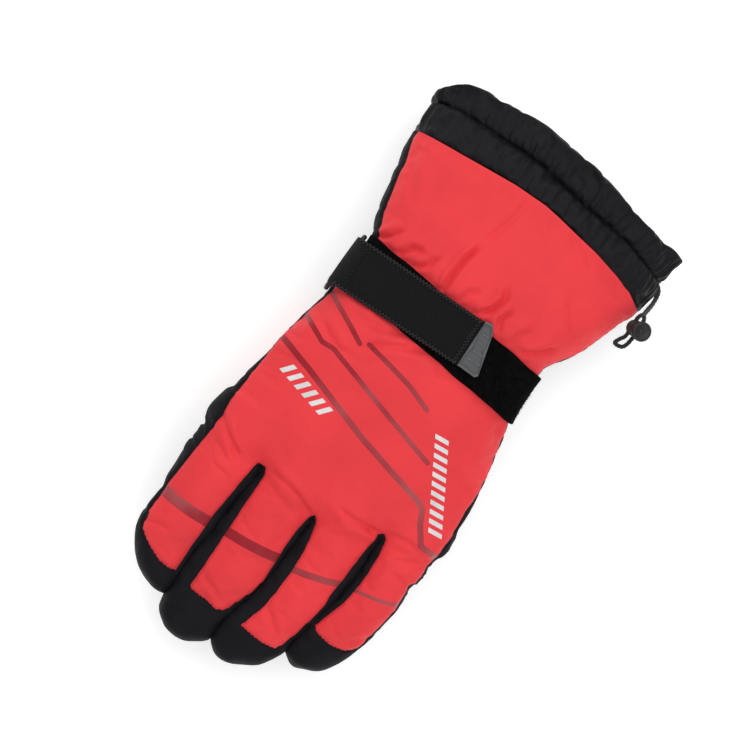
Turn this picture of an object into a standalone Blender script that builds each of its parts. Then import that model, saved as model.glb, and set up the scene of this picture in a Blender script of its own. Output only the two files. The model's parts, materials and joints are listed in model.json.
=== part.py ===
"""A left-hand gauntlet ski glove lying on its palm, made of separate sewn and moulded pieces.

Sizes are in millimetres and become metres when a mesh is made. +Z is up, out of the back of the
hand. The fingers point along -Y, the thumb side is -X. The origin lies on the flat palm patch.
Every tube (hand, cuff, finger, thumb) is a spine with rounded sections round it. An angle of 0 on
a section is its +X side, 90 its back, 180 its -X side and 270 its palm side.
"""

import math

import bmesh
import bpy
from mathutils import Matrix, Vector

MM = 0.001

# Layers of the glove wall, as depths below the outer face.
SHELL = 1.0
ELASTIC_DEPTH, ELASTIC = 1.6, 0.7
MEMBRANE_DEPTH, MEMBRANE = 2.9, 0.5
INSULATION_DEPTH, INSULATION = 4.0, 2.2
LINING_DEPTH, LINING = 6.8, 1.0
STALL_LINER_DEPTH, STALL_LINER = 1.7, 3.0
GAP = 0.3
PANEL_GAP = 2.2
STALL_GAP = 5.0

# The hand tube: y, -X edge, +X edge, centre height, half thickness.
HAND = (
    (84.0, -51.5, 58.0, 20.3, 18.6),
    (62.0, -52.5, 55.5, 20.3, 18.0),
    (46.0, -54.0, 55.5, 20.3, 18.2),
    (28.0, -58.0, 59.5, 20.3, 18.8),
    (5.0, -62.5, 62.8, 20.3, 18.8),
    (-20.0, -68.0, 64.5, 20.3, 18.0),
    (-46.0, -70.5, 63.3, 20.0, 15.0),
    (-64.0, -71.0, 60.5, 19.6, 13.0),
)
HAND_BACK_POWER, HAND_PALM_POWER = 2.4, 4.0
BACK_PANEL = (6.0, 157.0)
WRIST_Y, WRIST_Z = 84.0, 20.3
WRIST_FLEX = 25.0

# The cuff tube: distance from the wrist axis, -X edge, +X edge, half thickness.
CUFF = (
    (0.0, -51.5, 58.0, 18.6),
    (12.0, -54.5, 68.0, 21.0),
    (27.0, -57.0, 74.0, 24.0),
    (42.0, -60.0, 79.0, 26.0),
    (56.0, -61.5, 81.5, 27.0),
    (90.0, -62.0, 84.0, 27.0),
)
CUFF_DROOP = 13.0
CUFF_SLANT = 6.0
CUFF_PANEL_END = 51.0
HEM_BAND = (51.6, 62.6)
HEM_GAP = 64.8
HEM_ROLL = (67.0, 81.0)
CUFF_POWER = 2.3

# Fingers: knuckle x and y, lean of both phalanges towards -X, their lengths, half widths at the
# knuckle, the middle joint and the tip, the end of the red back panel, and its edge angles.
FINGERS = {
    "index": ((-53.0, -52.0), (1.5, -1.0), (33.0, 39.8), (17.0, 16.6, 14.6), 23.0, (42, 145)),
    "middle": ((-17.6, -58.0), (3.0, 7.5), (36.0, 43.9), (17.4, 16.9, 13.6), 21.5, (22, 135)),
    "ring": ((17.6, -58.0), (6.5, 12.5), (35.0, 43.3), (16.0, 15.0, 14.6), 24.0, (28, 126)),
    "little": ((49.6, -47.0), (5.0, 15.0), (31.0, 41.3), (14.0, 14.2, 12.8), 21.5, (15, 132)),
}
FINGER_HALF_HEIGHT = (12.6, 12.2, 11.4)
FINGER_POWER = 2.5
KNUCKLE_Z = 19.6
BASE_DROOP, TIP_DROOP = 8.0, 18.0
KNUCKLE_FLEX, KNUCKLE_EXTEND = 60.0, 12.0
MIDDLE_FLEX, MIDDLE_EXTEND = 65.0, 5.0

# The thumb is tucked under the palm and swings out about an upright axis.
THUMB_ROOT = (-42.0, 20.0)
THUMB_Z = -14.6
THUMB_LEAN = -8.0
THUMB_LENGTHS = (28.0, 36.0)
THUMB_HALF_WIDTH = (15.0, 14.6, 13.6)
THUMB_HALF_HEIGHT = (12.4, 12.2, 11.6)
THUMB_PANEL_END = 18.0
THUMB_PANEL = (115, 245)
THUMB_FLEX, THUMB_EXTEND = 45.0, 5.0
THUMB_HOLE = 9.5

# Palm patch.
PATCH_X, PATCH_Y, PATCH_THICKNESS, PATCH_CORNER = (-14.0, 42.0), (-30.0, 30.0), 1.1, 8.0

# Wrist strap. Its layers lie at heights above the shell, and angles on the hand place its ends.
STRAP_Y, STRAP_WIDTH, STRAP_TILT = 61.5, 27.0, 0.11
BASE_TAPE, BASE_SPAN = (0.5, 1.2), (6.0, 152.0)
HOOK_TAPE, HOOK_SPAN, HOOK_WIDTH = (2.1, 0.6), (80.0, 122.0), 21.0
FLAP_TAPE, FLAP_SPAN, FLAP_WIDTH, FLAP_Y = (3.5, 1.2), (72.5, 166.0), 25.5, 62.8
TAB_TAPE, TAB_SPAN = (2.4, 2.2), (61.5, 71.3)
TAB_TOP, TAB_TIP, TAB_BOTTOM = 76.3, 55.0, 50.3
LOOP_WIRE, LOOP_WIDTH, LOOP_CLEAR, LOOP_LIFT = 1.2, 31.0, 0.55, 1.3
LOOP_FAR, LOOP_NEAR = 166.0, 193.0
KEEPER_SPAN, KEEPER_WIDTH, KEEPER_TAPE, KEEPER_LOW = (193.0, 222.0), 22.0, 1.0, 0.4

# Drawcord round the hem and the cord lock that hangs on it.
CORD_RADIUS = 1.1
CORD_END_Y = 101.0
CORD_DEPTH = 0.1
LOCK_CENTRE = (82.6, 114.0, 23.0)
LOCK_AXIS = Vector((0.30, 0.0, 0.954)).normalized()
LOCK_SIDE = Vector((-0.954, 0.0, 0.30)).normalized()
LOCK_RADIUS, LOCK_HALF = 4.0, 4.5
LOCK_BORE, LOCK_BORE_FLOOR = 2.6, -0.1
CORD_HOLE, CORD_LEVEL, CORD_SPREAD = 1.5, -2.3, 1.75
STEM_RADIUS, STEM_FROM, HEAD_RADIUS, HEAD_FROM, HEAD_TO = 2.2, 2.4, 4.5, 7.1, 9.3

COLOURS = {
    "red_shell": ((0.80, 0.055, 0.065), 0.62, 0.0),
    "black_shell": ((0.018, 0.018, 0.020), 0.65, 0.0),
    "palm_leather": ((0.020, 0.020, 0.022), 0.55, 0.0),
    "membrane": ((0.75, 0.76, 0.78), 0.5, 0.0),
    "insulation": ((0.82, 0.80, 0.76), 0.9, 0.0),
    "lining": ((0.05, 0.05, 0.055), 0.95, 0.0),
    "webbing": ((0.014, 0.014, 0.015), 0.75, 0.0),
    "loop_tape": ((0.010, 0.010, 0.011), 0.95, 0.0),
    "hook_tape": ((0.02, 0.02, 0.02), 0.5, 0.0),
    "rubber_tab": ((0.10, 0.105, 0.11), 0.6, 0.0),
    "elastic": ((0.03, 0.03, 0.03), 0.8, 0.0),
    "black_plastic": ((0.015, 0.015, 0.016), 0.35, 0.0),
}


def clear_scene():
    for item in list(bpy.data.objects):
        bpy.data.objects.remove(item)


def collection(name):
    made = bpy.data.collections.new(name)
    bpy.context.scene.collection.children.link(made)
    return made


def material(name):
    if name in bpy.data.materials:
        return bpy.data.materials[name]
    colour, roughness, metallic = COLOURS[name]
    made = bpy.data.materials.new(name)
    made.use_nodes = True
    shader = made.node_tree.nodes["Principled BSDF"]
    shader.inputs["Base Color"].default_value = (*colour, 1.0)
    shader.inputs["Roughness"].default_value = roughness
    shader.inputs["Metallic"].default_value = metallic
    return made


def add_object(name, mesh, finish, smooth=True):
    made = bpy.data.objects.new(name, mesh)
    GLOVE.objects.link(made)
    mesh.materials.append(material(finish))
    if smooth:
        mesh.shade_smooth()
        mesh.set_sharp_from_angle(angle=math.radians(40))
    return made


def pivot(name, spot, nodes, parent=None):
    """An empty on a joint's axis, carrying the pieces that turn or slide there."""
    made = bpy.data.objects.new(name, None)
    GLOVE.objects.link(made)
    made.location = Vector(spot) * MM
    if parent:
        hang(made, parent)
    for node in nodes:
        hang(bpy.data.objects[node], made)
    return made


def hang(item, parent):
    """Parents an object where it stands. Every empty's own location is its place in the world."""
    item.parent = parent
    item.matrix_parent_inverse = Matrix.Translation(-parent.location)


def eased(rows, at):
    """The row of a table at a station, on a smooth curve through its rows."""
    if rows[0][0] > rows[-1][0]:
        rows = rows[::-1]
    at = min(max(at, rows[0][0]), rows[-1][0])
    index = max(i for i in range(len(rows) - 1) if rows[i][0] <= at)
    low, high = rows[index], rows[index + 1]
    before = rows[max(index - 1, 0)]
    after = rows[min(index + 2, len(rows) - 1)]
    span = high[0] - low[0]
    share = (at - low[0]) / span
    values = []
    for column in range(1, len(low)):
        rise_low = (high[column] - before[column]) / (high[0] - before[0]) * span
        rise_high = (after[column] - low[column]) / (after[0] - low[0]) * span
        values.append(
            (2 * share**3 - 3 * share**2 + 1) * low[column]
            + (share**3 - 2 * share**2 + share) * rise_low
            + (3 * share**2 - 2 * share**3) * high[column]
            + (share**3 - share**2) * rise_high
        )
    return values


def rounded(angle, power):
    """Point of a unit superellipse."""
    cosine, sine = math.cos(angle), math.sin(angle)
    across = math.copysign(abs(cosine) ** (2 / power), cosine)
    return across, math.copysign(abs(sine) ** (2 / power), sine)


def hand_point(y, angle, depth):
    left, right, centre, half = eased(HAND, y)
    power = HAND_BACK_POWER if math.sin(angle) >= 0 else HAND_PALM_POWER
    across, up = rounded(angle, power)
    width = (right - left) / 2 - depth
    return Vector(((left + right) / 2 + across * width, y, centre + up * (half - depth)))


def cuff_point(station, angle, depth):
    left, right, half = eased(CUFF, station)
    across, up = rounded(angle, CUFF_POWER)
    middle = (left + right) / 2
    side = across * ((right - left) / 2 - depth)
    droop = math.radians(CUFF_DROOP)
    settle = min(station / 45.0, 1.0)
    slant = math.radians(CUFF_SLANT) * settle * settle * (3 - 2 * settle)
    height = up * (half - depth)
    along = station - side * math.tan(slant)
    y = WRIST_Y + along * math.cos(droop) + height * math.sin(droop) * settle
    z = WRIST_Z - along * math.sin(droop) + height * (1 - settle + math.cos(droop) * settle)
    return Vector((middle + side, y, z))


class Phalanx:
    """A straight length of a finger or the thumb, from its own hinge to the next one or the tip."""

    def __init__(self, start, lean, droop, length, halves, heights, sways=(0.0, 0.0), upright=False):
        lean, droop = math.radians(lean), math.radians(droop)
        self.start, self.length = Vector(start), length
        self.halves, self.heights = halves, heights
        self.side = Vector((math.cos(lean), -math.sin(lean), 0.0))
        flat = Vector((-math.sin(lean), -math.cos(lean), 0.0))
        self.along = flat * math.cos(droop) + Vector((0.0, 0.0, -math.sin(droop)))
        self.up = self.along.cross(self.side)
        self.sways = [math.tan(math.radians(sway / 2)) for sway in sways]
        self.upright = upright

    def end(self):
        return self.start + self.along * self.length

    def offsets(self, share, angle, depth):
        across, up = rounded(angle, FINGER_POWER)
        half = self.halves[0] + (self.halves[1] - self.halves[0]) * share
        height = self.heights[0] + (self.heights[1] - self.heights[0]) * share
        return across * (half - depth), up * (height - depth)

    def mitre(self, share, angle, depth, flex, extend):
        """How far a cut end stands back from the hinge axis, so that the joint can turn."""
        across, up = self.offsets(share, angle, depth)
        towards = across if self.upright else -up
        slope = flex if towards > 0 else extend
        sway = self.sways[1] if share > 0.5 else self.sways[0]
        return abs(towards) * math.tan(math.radians(slope)) + GAP - across * sway

    def point(self, station, angle, depth, taper=1.0):
        share = min(max(station / self.length, 0.0), 1.0)
        across, up = self.offsets(share, angle, depth)
        return self.start + self.along * station + (self.side * across + self.up * up) * taper


def degrees(first, last, count):
    return [math.radians(first + (last - first) * i / count) for i in range(count + 1)]


def skin(name, point, angles, shares, layer, finish, keep=None, closed=False, end=False):
    """A panel lofted over (angle, share) between two depths. keep drops cells, end closes the tip."""
    depth, thickness = layer
    shape = bmesh.new()
    outer = [[shape.verts.new(point(a, s, depth) * MM) for s in shares] for a in angles]
    inner = [[shape.verts.new(point(a, s, depth + thickness) * MM) for s in shares] for a in angles]
    columns = len(angles) if closed else len(angles) - 1
    for i in range(columns):
        for grid in (outer, inner):
            near, far = grid[i], grid[(i + 1) % len(angles)]
            for j in range(len(shares) - 1):
                middle = (outer[i][j].co + outer[(i + 1) % len(angles)][j + 1].co) / 2 / MM
                if keep is None or keep(i, j, middle):
                    shape.faces.new((near[j], far[j], far[j + 1], near[j + 1]))
    if end:
        shape.faces.new([column[-1] for column in outer])
        shape.faces.new([column[-1] for column in inner])
    close_rim(shape, outer, inner)
    finish_body(shape)
    mesh = bpy.data.meshes.new(name)
    shape.to_mesh(mesh)
    shape.free()
    return add_object(name, mesh, finish)


def close_rim(shape, outer, inner):
    """Join the open edges of the outer and the inner grid."""
    partner = {}
    for far, near in zip(outer, inner):
        partner.update(zip(far, near))
    rim = [edge for edge in shape.edges if len(edge.link_faces) == 1]
    for edge in rim:
        first, second = edge.verts
        if first in partner:
            shape.faces.new((first, second, partner[second], partner[first]))


def finish_body(shape):
    loose = [v for v in shape.verts if not v.link_faces]
    bmesh.ops.delete(shape, geom=loose, context="VERTS")
    bmesh.ops.recalc_face_normals(shape, faces=shape.faces[:])


def ring_body(name, point, angles, profile, finish):
    """A closed ring whose section is the profile, a loop of (station, depth) pairs."""
    shape = bmesh.new()
    grid = [[shape.verts.new(point(s, a, d) * MM) for s, d in profile] for a in angles]
    for i in range(len(angles)):
        near, far = grid[i], grid[(i + 1) % len(angles)]
        for j in range(len(profile)):
            k = (j + 1) % len(profile)
            shape.faces.new((near[j], far[j], far[k], near[k]))
    bmesh.ops.recalc_face_normals(shape, faces=shape.faces[:])
    mesh = bpy.data.meshes.new(name)
    shape.to_mesh(mesh)
    shape.free()
    return add_object(name, mesh, finish)


def wire(name, points, radius, finish, cyclic=False, sides=2):
    """A round wire or cord along points."""
    curve = bpy.data.curves.new(name, "CURVE")
    curve.dimensions = "3D"
    curve.bevel_depth = radius * MM
    curve.bevel_resolution = sides
    curve.use_fill_caps = True
    spline = curve.splines.new("POLY")
    spline.points.add(len(points) - 1)
    for spot, place in zip(spline.points, points):
        spot.co = (*(Vector(place) * MM), 1.0)
    spline.use_cyclic_u = cyclic
    made = bpy.data.objects.new(name, curve)
    GLOVE.objects.link(made)
    curve.materials.append(material(finish))
    return made


def cutter(name, mesh, target, operation="DIFFERENCE"):
    made = bpy.data.objects.new(name, mesh)
    CUTTERS.objects.link(made)
    made.hide_render = True
    made.display_type = "WIRE"
    cut = target.modifiers.new(name, "BOOLEAN")
    cut.object = made
    cut.operation = operation
    return made


def round_bar(radius, length, centre, direction, sides=24):
    """A cylinder mesh, its middle at centre."""
    shape = bmesh.new()
    turn = Vector((0, 0, 1)).rotation_difference(direction).to_matrix().to_4x4()
    bmesh.ops.create_cone(
        shape,
        cap_ends=True,
        segments=sides,
        radius1=radius * MM,
        radius2=radius * MM,
        depth=length * MM,
        matrix=Matrix.Translation(Vector(centre) * MM) @ turn,
    )
    mesh = bpy.data.meshes.new("bar")
    shape.to_mesh(mesh)
    shape.free()
    return mesh


def joint_tangents():
    """Half of each joint's closing angle, with the bend at rest and a small margin added."""
    knuckle = (KNUCKLE_FLEX + BASE_DROOP + 2) / 2, (KNUCKLE_EXTEND - BASE_DROOP + 3) / 2
    bend = TIP_DROOP - BASE_DROOP
    middle = (MIDDLE_FLEX + bend + 2) / 2, (max(MIDDLE_EXTEND - bend, 0) + 3) / 2
    return knuckle, middle


def hand_end(x, height):
    """Where the hand wall stops, behind the cut of every finger near x."""
    (flex, extend), _ = joint_tangents()
    reach = 10.0
    ends = []
    for (knuckle_x, knuckle_y), (lean, _), _, (half, _, _), _, _ in FINGERS.values():
        if abs(x - knuckle_x) > half + reach:
            continue
        lean = math.radians(lean)
        below = KNUCKLE_Z - height
        slope = math.radians(flex if below > 0 else extend)
        back = abs(below) * math.tan(slope) + GAP
        ends.append(knuckle_y + (back - math.sin(lean) * (x - knuckle_x)) / math.cos(lean))
    return max(ends)


def hand_sheet(angle, share, depth):
    """A point of the hand wall: share 0 is the wrist cut and share 1 the edge at the knuckles."""
    wrist = hand_point(WRIST_Y, angle, depth)
    slope = math.tan(math.radians(WRIST_FLEX / 2 + 1))
    start = WRIST_Y - abs(wrist.z - WRIST_Z) * slope - GAP
    edge = hand_point(-56.0, angle, depth)
    end = hand_end(edge.x, edge.z) + 0.5
    return hand_point(start + (end - start) * share, angle, depth)


def cuff_sheet(angle, share, depth, last):
    """A point of the cuff wall: share 0 is its far edge and share 1 the cut at the wrist."""
    wrist = cuff_point(0.0, angle, depth)
    slope = math.tan(math.radians(WRIST_FLEX / 2 + 2))
    first = abs(wrist.z - WRIST_Z) * slope + GAP + 0.5
    return cuff_point(last + (first - last) * share, angle, depth)


def away_from_thumb(i, j, centre):
    """False for wall cells over the hole that leads into the thumb."""
    if centre.z > WRIST_Z:
        return True
    return (centre.xy - Vector(THUMB_ROOT)).length > THUMB_HOLE


ROOT_SHARES = [0.0, 0.08, 0.2, 0.35, 0.7, 1.0]
TIP_SHARES = [0.0, 0.6, 0.8, 0.93, 1.0]
HAND_SHARES = [0.0, 0.18, 0.34, 0.46, 0.58, 0.72, 0.87, 1.0]
AROUND_HAND = degrees(0, 360, 28)[:-1]


def build_hand():
    first, last = BACK_PANEL
    shell = (0.0, SHELL)
    back = degrees(first, last, 16)
    skin("hand_back_panel", hand_sheet, back, HAND_SHARES, shell, "red_shell")
    palm = degrees(last + PANEL_GAP, first + 360 - PANEL_GAP, 20)
    skin("palm_panel", hand_sheet, palm, HAND_SHARES, shell, "palm_leather", away_from_thumb)
    for name, layer, finish in (
        ("waterproof_membrane", (MEMBRANE_DEPTH, MEMBRANE), "membrane"),
        ("hand_insulation", (INSULATION_DEPTH, INSULATION), "insulation"),
        ("hand_lining", (LINING_DEPTH, LINING), "lining"),
    ):
        skin(name, hand_sheet, AROUND_HAND, HAND_SHARES, layer, finish, away_from_thumb, True)


def build_wrist_elastic():
    """The elastic that gathers the palm side of the wrist, inside the shell."""
    start, end = STRAP_Y + 6.0, STRAP_Y - 6.0

    def point(angle, share, depth):
        return hand_point(start + (end - start) * share, angle, depth)

    layer = (ELASTIC_DEPTH, ELASTIC)
    skin("wrist_elastic", point, degrees(200, 340, 12), [0.0, 1.0], layer, "elastic")


def build_palm_patch():
    """A flat reinforcement whose underside is the face the glove grips and rests with."""
    shape = bmesh.new()
    outline = []
    for corner, (x, y) in enumerate(
        (
            (PATCH_X[1], PATCH_Y[1]),
            (PATCH_X[0], PATCH_Y[1]),
            (PATCH_X[0], PATCH_Y[0]),
            (PATCH_X[1], PATCH_Y[0]),
        )
    ):
        inward_x = -1 if x == PATCH_X[1] else 1
        inward_y = -1 if y == PATCH_Y[1] else 1
        for step in range(5):
            turn = math.radians(corner * 90 + step * 22.5)
            outline.append(
                (
                    x + inward_x * PATCH_CORNER + math.cos(turn) * PATCH_CORNER,
                    y + inward_y * PATCH_CORNER + math.sin(turn) * PATCH_CORNER,
                )
            )
    floor = [shape.verts.new((x * MM, y * MM, 0.0)) for x, y in outline]
    face = shape.faces.new(floor)
    raised = bmesh.ops.extrude_face_region(shape, geom=[face])["geom"]
    lifted = [v for v in raised if isinstance(v, bmesh.types.BMVert)]
    bmesh.ops.translate(shape, verts=lifted, vec=(0, 0, PATCH_THICKNESS * MM))
    bmesh.ops.recalc_face_normals(shape, faces=shape.faces[:])
    mesh = bpy.data.meshes.new("palm_patch")
    shape.to_mesh(mesh)
    shape.free()
    add_object("palm_patch", mesh, "palm_leather")


def build_stall(name, base, tip, panel, panel_end, knuckle, bend, rooted=False):
    """The six pieces of one finger or thumb stall: back, sleeve and liner of both phalanges."""
    first, last = panel
    shell, liner = (0.0, SHELL), (STALL_LINER_DEPTH, STALL_LINER)
    back = degrees(first, last, 6)
    rest = degrees(last + STALL_GAP, first + 360 - STALL_GAP, 12)
    around = degrees(0, 360, 16)[:-1]

    def base_sheet(angle, share, depth):
        if rooted:
            return root_dome(base, angle, share, depth, bend)
        start = base.mitre(0.0, angle, depth, *knuckle)
        end = base.length - base.mitre(1.0, angle, depth, *bend)
        return base.point(start + (end - start) * share, angle, depth)

    def tip_back(angle, share, depth):
        return stall_tip(tip, angle, depth, bend, share, panel_end)

    def tip_inner(angle, share, depth):
        return stall_tip(tip, angle, depth, bend, share, tip.length - depth - 0.5)

    keep = open_to_palm if rooted else None
    shares = ROOT_SHARES if rooted else [0.0, 0.5, 1.0]
    back_shares = shares[3:] if rooted else shares
    skin(f"{name}_base_back", base_sheet, back, back_shares, shell, "red_shell")
    skin(f"{name}_base_sleeve", base_sheet, rest, back_shares, shell, "palm_leather", keep)
    skin(f"{name}_base_liner", base_sheet, around, shares, liner, "lining", keep, True)
    skin(f"{name}_tip_back", tip_back, back, [0.0, 0.5, 1.0], shell, "red_shell")
    build_cap(name, tip, bend, panel, panel_end)
    skin(f"{name}_tip_liner", tip_inner, around, TIP_SHARES, liner, "lining", None, True, True)
    bases = [f"{name}_base_{piece}" for piece in ("back", "sleeve", "liner")]
    tips = [f"{name}_tip_back", f"{name}_cap", f"{name}_tip_liner"]
    base_axis = pivot(f"{name}_base_axis", base.start, bases)
    pivot(f"{name}_tip_axis", tip.start, tips, base_axis)


def stall_tip(tip, angle, depth, bend, share, last):
    """A point of the outer phalanx: share 0 is the cut at the joint, share 1 the last station."""
    start = tip.mitre(0.0, angle, depth, *bend)
    station = start + (last - start) * share
    return tip.point(station, angle, depth, tip_taper(tip, station, depth))


def build_cap(name, tip, bend, panel, panel_end):
    """The cap: it covers the fingertip all round and runs back under the finger to the joint."""
    first, last = panel
    over = degrees(first, last, 6)
    angles = over + degrees(last + STALL_GAP, first + 360 - STALL_GAP, 12)
    cover = panel_end + 0.5

    def point(angle, share, depth):
        if share < 0:
            return stall_tip(tip, angle, depth, bend, share + 1.0, cover)
        station = cover + (tip.length - 0.5 - depth - cover) * share
        return tip.point(station, angle, depth, tip_taper(tip, station, depth))

    def keep(i, j, centre):
        over_back = i < len(over) or i == len(angles) - 1
        return not (over_back and j < 2)

    shares = [-1.0, -0.5, 0.0, 0.35, 0.65, 0.88, 1.0]
    skin(f"{name}_cap", point, angles, shares, (0.0, SHELL), "palm_leather", keep, True, True)


def tip_taper(tip, station, depth):
    """How much a section has closed in near the rounded end of a stall."""
    radius = 15.0 - depth * 0.5
    ahead = station + depth * 0.5 - (tip.length - 15.0)
    if ahead <= 0:
        return 1.0
    return max(1 - min(ahead / radius, 1.0) ** 2.3, 0.02) ** (1 / 2.3)


def root_dome(base, angle, share, depth, bend):
    """The thumb's base: a dome behind its upright swing axis, then a tube to the middle joint."""
    radius = base.halves[0]
    first = -(radius - depth) + 0.6
    end = base.length - base.mitre(1.0, angle, depth, *bend)
    if share < ROOT_SHARES[3]:
        station = first * (1 - share / ROOT_SHARES[3])
        return base.point(station, angle, depth, math.sqrt(1 - (station / (radius - depth)) ** 2))
    run = (share - ROOT_SHARES[3]) / (1 - ROOT_SHARES[3])
    return base.point(end * run, angle, depth)


def open_to_palm(i, j, centre):
    """False for cells of the thumb's root under the hole in the palm."""
    if centre.z < THUMB_Z:
        return True
    return (centre.xy - Vector(THUMB_ROOT)).length > THUMB_HOLE


def build_fingers():
    knuckle, middle = joint_tangents()
    h0, h1, h2 = FINGER_HALF_HEIGHT
    for name, (spot, leans, lengths, halves, panel_end, panel) in FINGERS.items():
        start = (*spot, KNUCKLE_Z)
        sway = leans[1] - leans[0]
        base = Phalanx(start, leans[0], BASE_DROOP, lengths[0], halves[:2], (h0, h1), (0, sway))
        tip = Phalanx(base.end(), leans[1], TIP_DROOP, lengths[1], halves[1:], (h1, h2), (sway, 0))
        build_stall(name, base, tip, panel, panel_end, knuckle, middle)


def build_thumb():
    bend = (THUMB_FLEX + 2) / 2, (THUMB_EXTEND + 2) / 2
    widths, heights = THUMB_HALF_WIDTH, THUMB_HALF_HEIGHT
    start = (*THUMB_ROOT, THUMB_Z)
    first, second = THUMB_LENGTHS
    base = Phalanx(start, THUMB_LEAN, 0.0, first, widths[:2], heights[:2], upright=True)
    tip = Phalanx(base.end(), THUMB_LEAN, 0.0, second, widths[1:], heights[1:], upright=True)
    build_stall("thumb", base, tip, THUMB_PANEL, THUMB_PANEL_END, bend, bend, rooted=True)


def build_thumb_gusset():
    """The collar between the hole in the palm and the root of the thumb."""
    profile = [(THUMB_HOLE + 1.6, -1.5), (THUMB_HOLE + 3.0, -1.5), (THUMB_HOLE + 3.0, 1.0)]
    profile.append((THUMB_HOLE + 1.6, 1.0))
    root = Vector((*THUMB_ROOT, 0.0))

    def point(radius, angle, height):
        return root + Vector((radius * math.cos(angle), radius * math.sin(angle), height))

    ring_body("thumb_gusset", point, degrees(0, 360, 24)[:-1], profile, "palm_leather")


def build_cuff():
    first, last = BACK_PANEL
    rows = [0.0, 0.25, 0.5, 0.75, 1.0]

    def outer(angle, share, depth):
        return cuff_sheet(angle, share, depth, CUFF_PANEL_END)

    def inner(angle, share, depth):
        return cuff_sheet(angle, share, depth, HEM_ROLL[0] - 1.0)

    shell, liner = (0.0, SHELL), (STALL_LINER_DEPTH, STALL_LINER)
    skin("cuff_back_panel", outer, degrees(first, last, 14), rows, shell, "red_shell")
    palm = degrees(last + PANEL_GAP, first + 360 - PANEL_GAP, 16)
    skin("cuff_palm_panel", outer, palm, rows, shell, "black_shell")
    around = degrees(0, 360, 26)[:-1]
    skin("cuff_lining", inner, around, rows, liner, "lining", None, True)
    start, end = HEM_BAND
    band = [(start, 0.0), (start + 1.5, -1.4), (end - 2.0, -1.4), (end, 0.2), (end, 1.0), (start, 1.0)]
    ring_body("hem_band", cuff_point, around, band, "black_shell")
    start, end = HEM_ROLL
    roll = [
        (start, 0.6),
        (start + 2.0, -1.6),
        (end - 4.0, -1.6),
        (end - 0.8, 0.2),
        (end, 2.6),
        (end - 0.8, 5.2),
        (end - 4.0, 6.6),
        (start + 2.0, 6.6),
        (start, 4.6),
    ]
    ring_body("hem_roll", cuff_point, around, roll, "black_shell")


def on_strap(angle, across, height, width, middle, tilt):
    """A point above the back of the wrist: across runs from -1 to 1 over the strap's width."""
    x = hand_point(middle, angle, 0.0).x
    y = middle - tilt * x + across * width / 2
    return hand_point(y, angle, -height)


def tape(name, span, layer, width, middle, tilt, finish, steps, edge=None):
    """A tape laid over the wrist. edge gives its own width limits at a share along it."""
    height, thickness = layer

    def point(angle, share, depth):
        across = 2 * share - 1
        if edge:
            low, high = edge((angle - math.radians(span[0])) / math.radians(span[1] - span[0]))
            y = low + (high - low) * share
            return hand_point(y, angle, -(height + thickness) + depth)
        return on_strap(angle, across, height + thickness - depth, width, middle, tilt)

    shares = [0.0, 0.5, 1.0]
    skin(name, point, degrees(*span, steps), shares, (0.0, thickness), finish)


def loop_bar(angle, across):
    """Middle of one of the loop's two bars, across from -1 to 1 along the bar."""
    offset = LOOP_LIFT + LOOP_WIRE + LOOP_CLEAR
    ends = [
        hand_point(FLAP_Y + sign * LOOP_WIDTH / 2, math.radians(angle), -offset)
        for sign in (-1, 1)
    ]
    return ends[0] + (ends[1] - ends[0]) * (across + 1) / 2


def around_bar(angle, spot, across, turn, radius, forward):
    """A point turned round a bar, from the side that faces away from the hand."""
    outward = (spot - hand_point(FLAP_Y, math.radians(angle), 10.0)).normalized()
    outward = Vector((outward.x, 0.0, outward.z)).normalized()
    onward = Vector((-outward.z, 0.0, outward.x)) * forward
    return spot + (outward * math.cos(turn) + onward * math.sin(turn)) * radius


def build_flap():
    """The webbing flap: over the wrist, then hooked over the loop's far bar."""
    height, thickness = FLAP_TAPE
    rows = degrees(*FLAP_SPAN, 14) + [math.radians(1000 + 24 * step) for step in range(1, 4)]

    def point(angle, share, depth):
        across = (2 * share - 1) * FLAP_WIDTH / 2
        if angle < math.radians(900):
            lift = max(0.0, 1 - (LOOP_FAR - math.degrees(angle)) / 24) * LOOP_LIFT
            return hand_point(FLAP_Y + across, angle, -(height + lift + thickness) + depth)
        bar = loop_bar(LOOP_FAR, across * 2 / LOOP_WIDTH)
        radius = LOOP_WIRE + LOOP_CLEAR + thickness - depth
        return around_bar(LOOP_FAR, bar, across, angle - math.radians(1000), radius, 1)

    skin("strap_webbing", point, rows, [0.0, 0.5, 1.0], (0.0, thickness), "webbing")


def build_keeper():
    """The webbing keeper: sewn to the palm side of the wrist and hooked over the near bar."""
    first, last = KEEPER_SPAN
    rows = degrees(last, first, 6) + [math.radians(1000 + 24 * step) for step in range(1, 4)]

    def point(angle, share, depth):
        across = (2 * share - 1) * KEEPER_WIDTH / 2
        if angle < math.radians(900):
            climb = (last - math.degrees(angle)) / (last - first)
            climb = climb * climb * (3 - 2 * climb)
            height = KEEPER_LOW + (FLAP_TAPE[0] + LOOP_LIFT - KEEPER_LOW) * climb
            height += KEEPER_TAPE - depth
            return hand_point(FLAP_Y + across, angle, -height)
        bar = loop_bar(LOOP_NEAR, across * 2 / LOOP_WIDTH)
        radius = LOOP_WIRE + LOOP_CLEAR + KEEPER_TAPE - depth
        return around_bar(LOOP_NEAR, bar, across, angle - math.radians(1000), radius, -1)

    skin("loop_keeper", point, rows, [0.0, 0.5, 1.0], (0.0, KEEPER_TAPE), "webbing")


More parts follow.
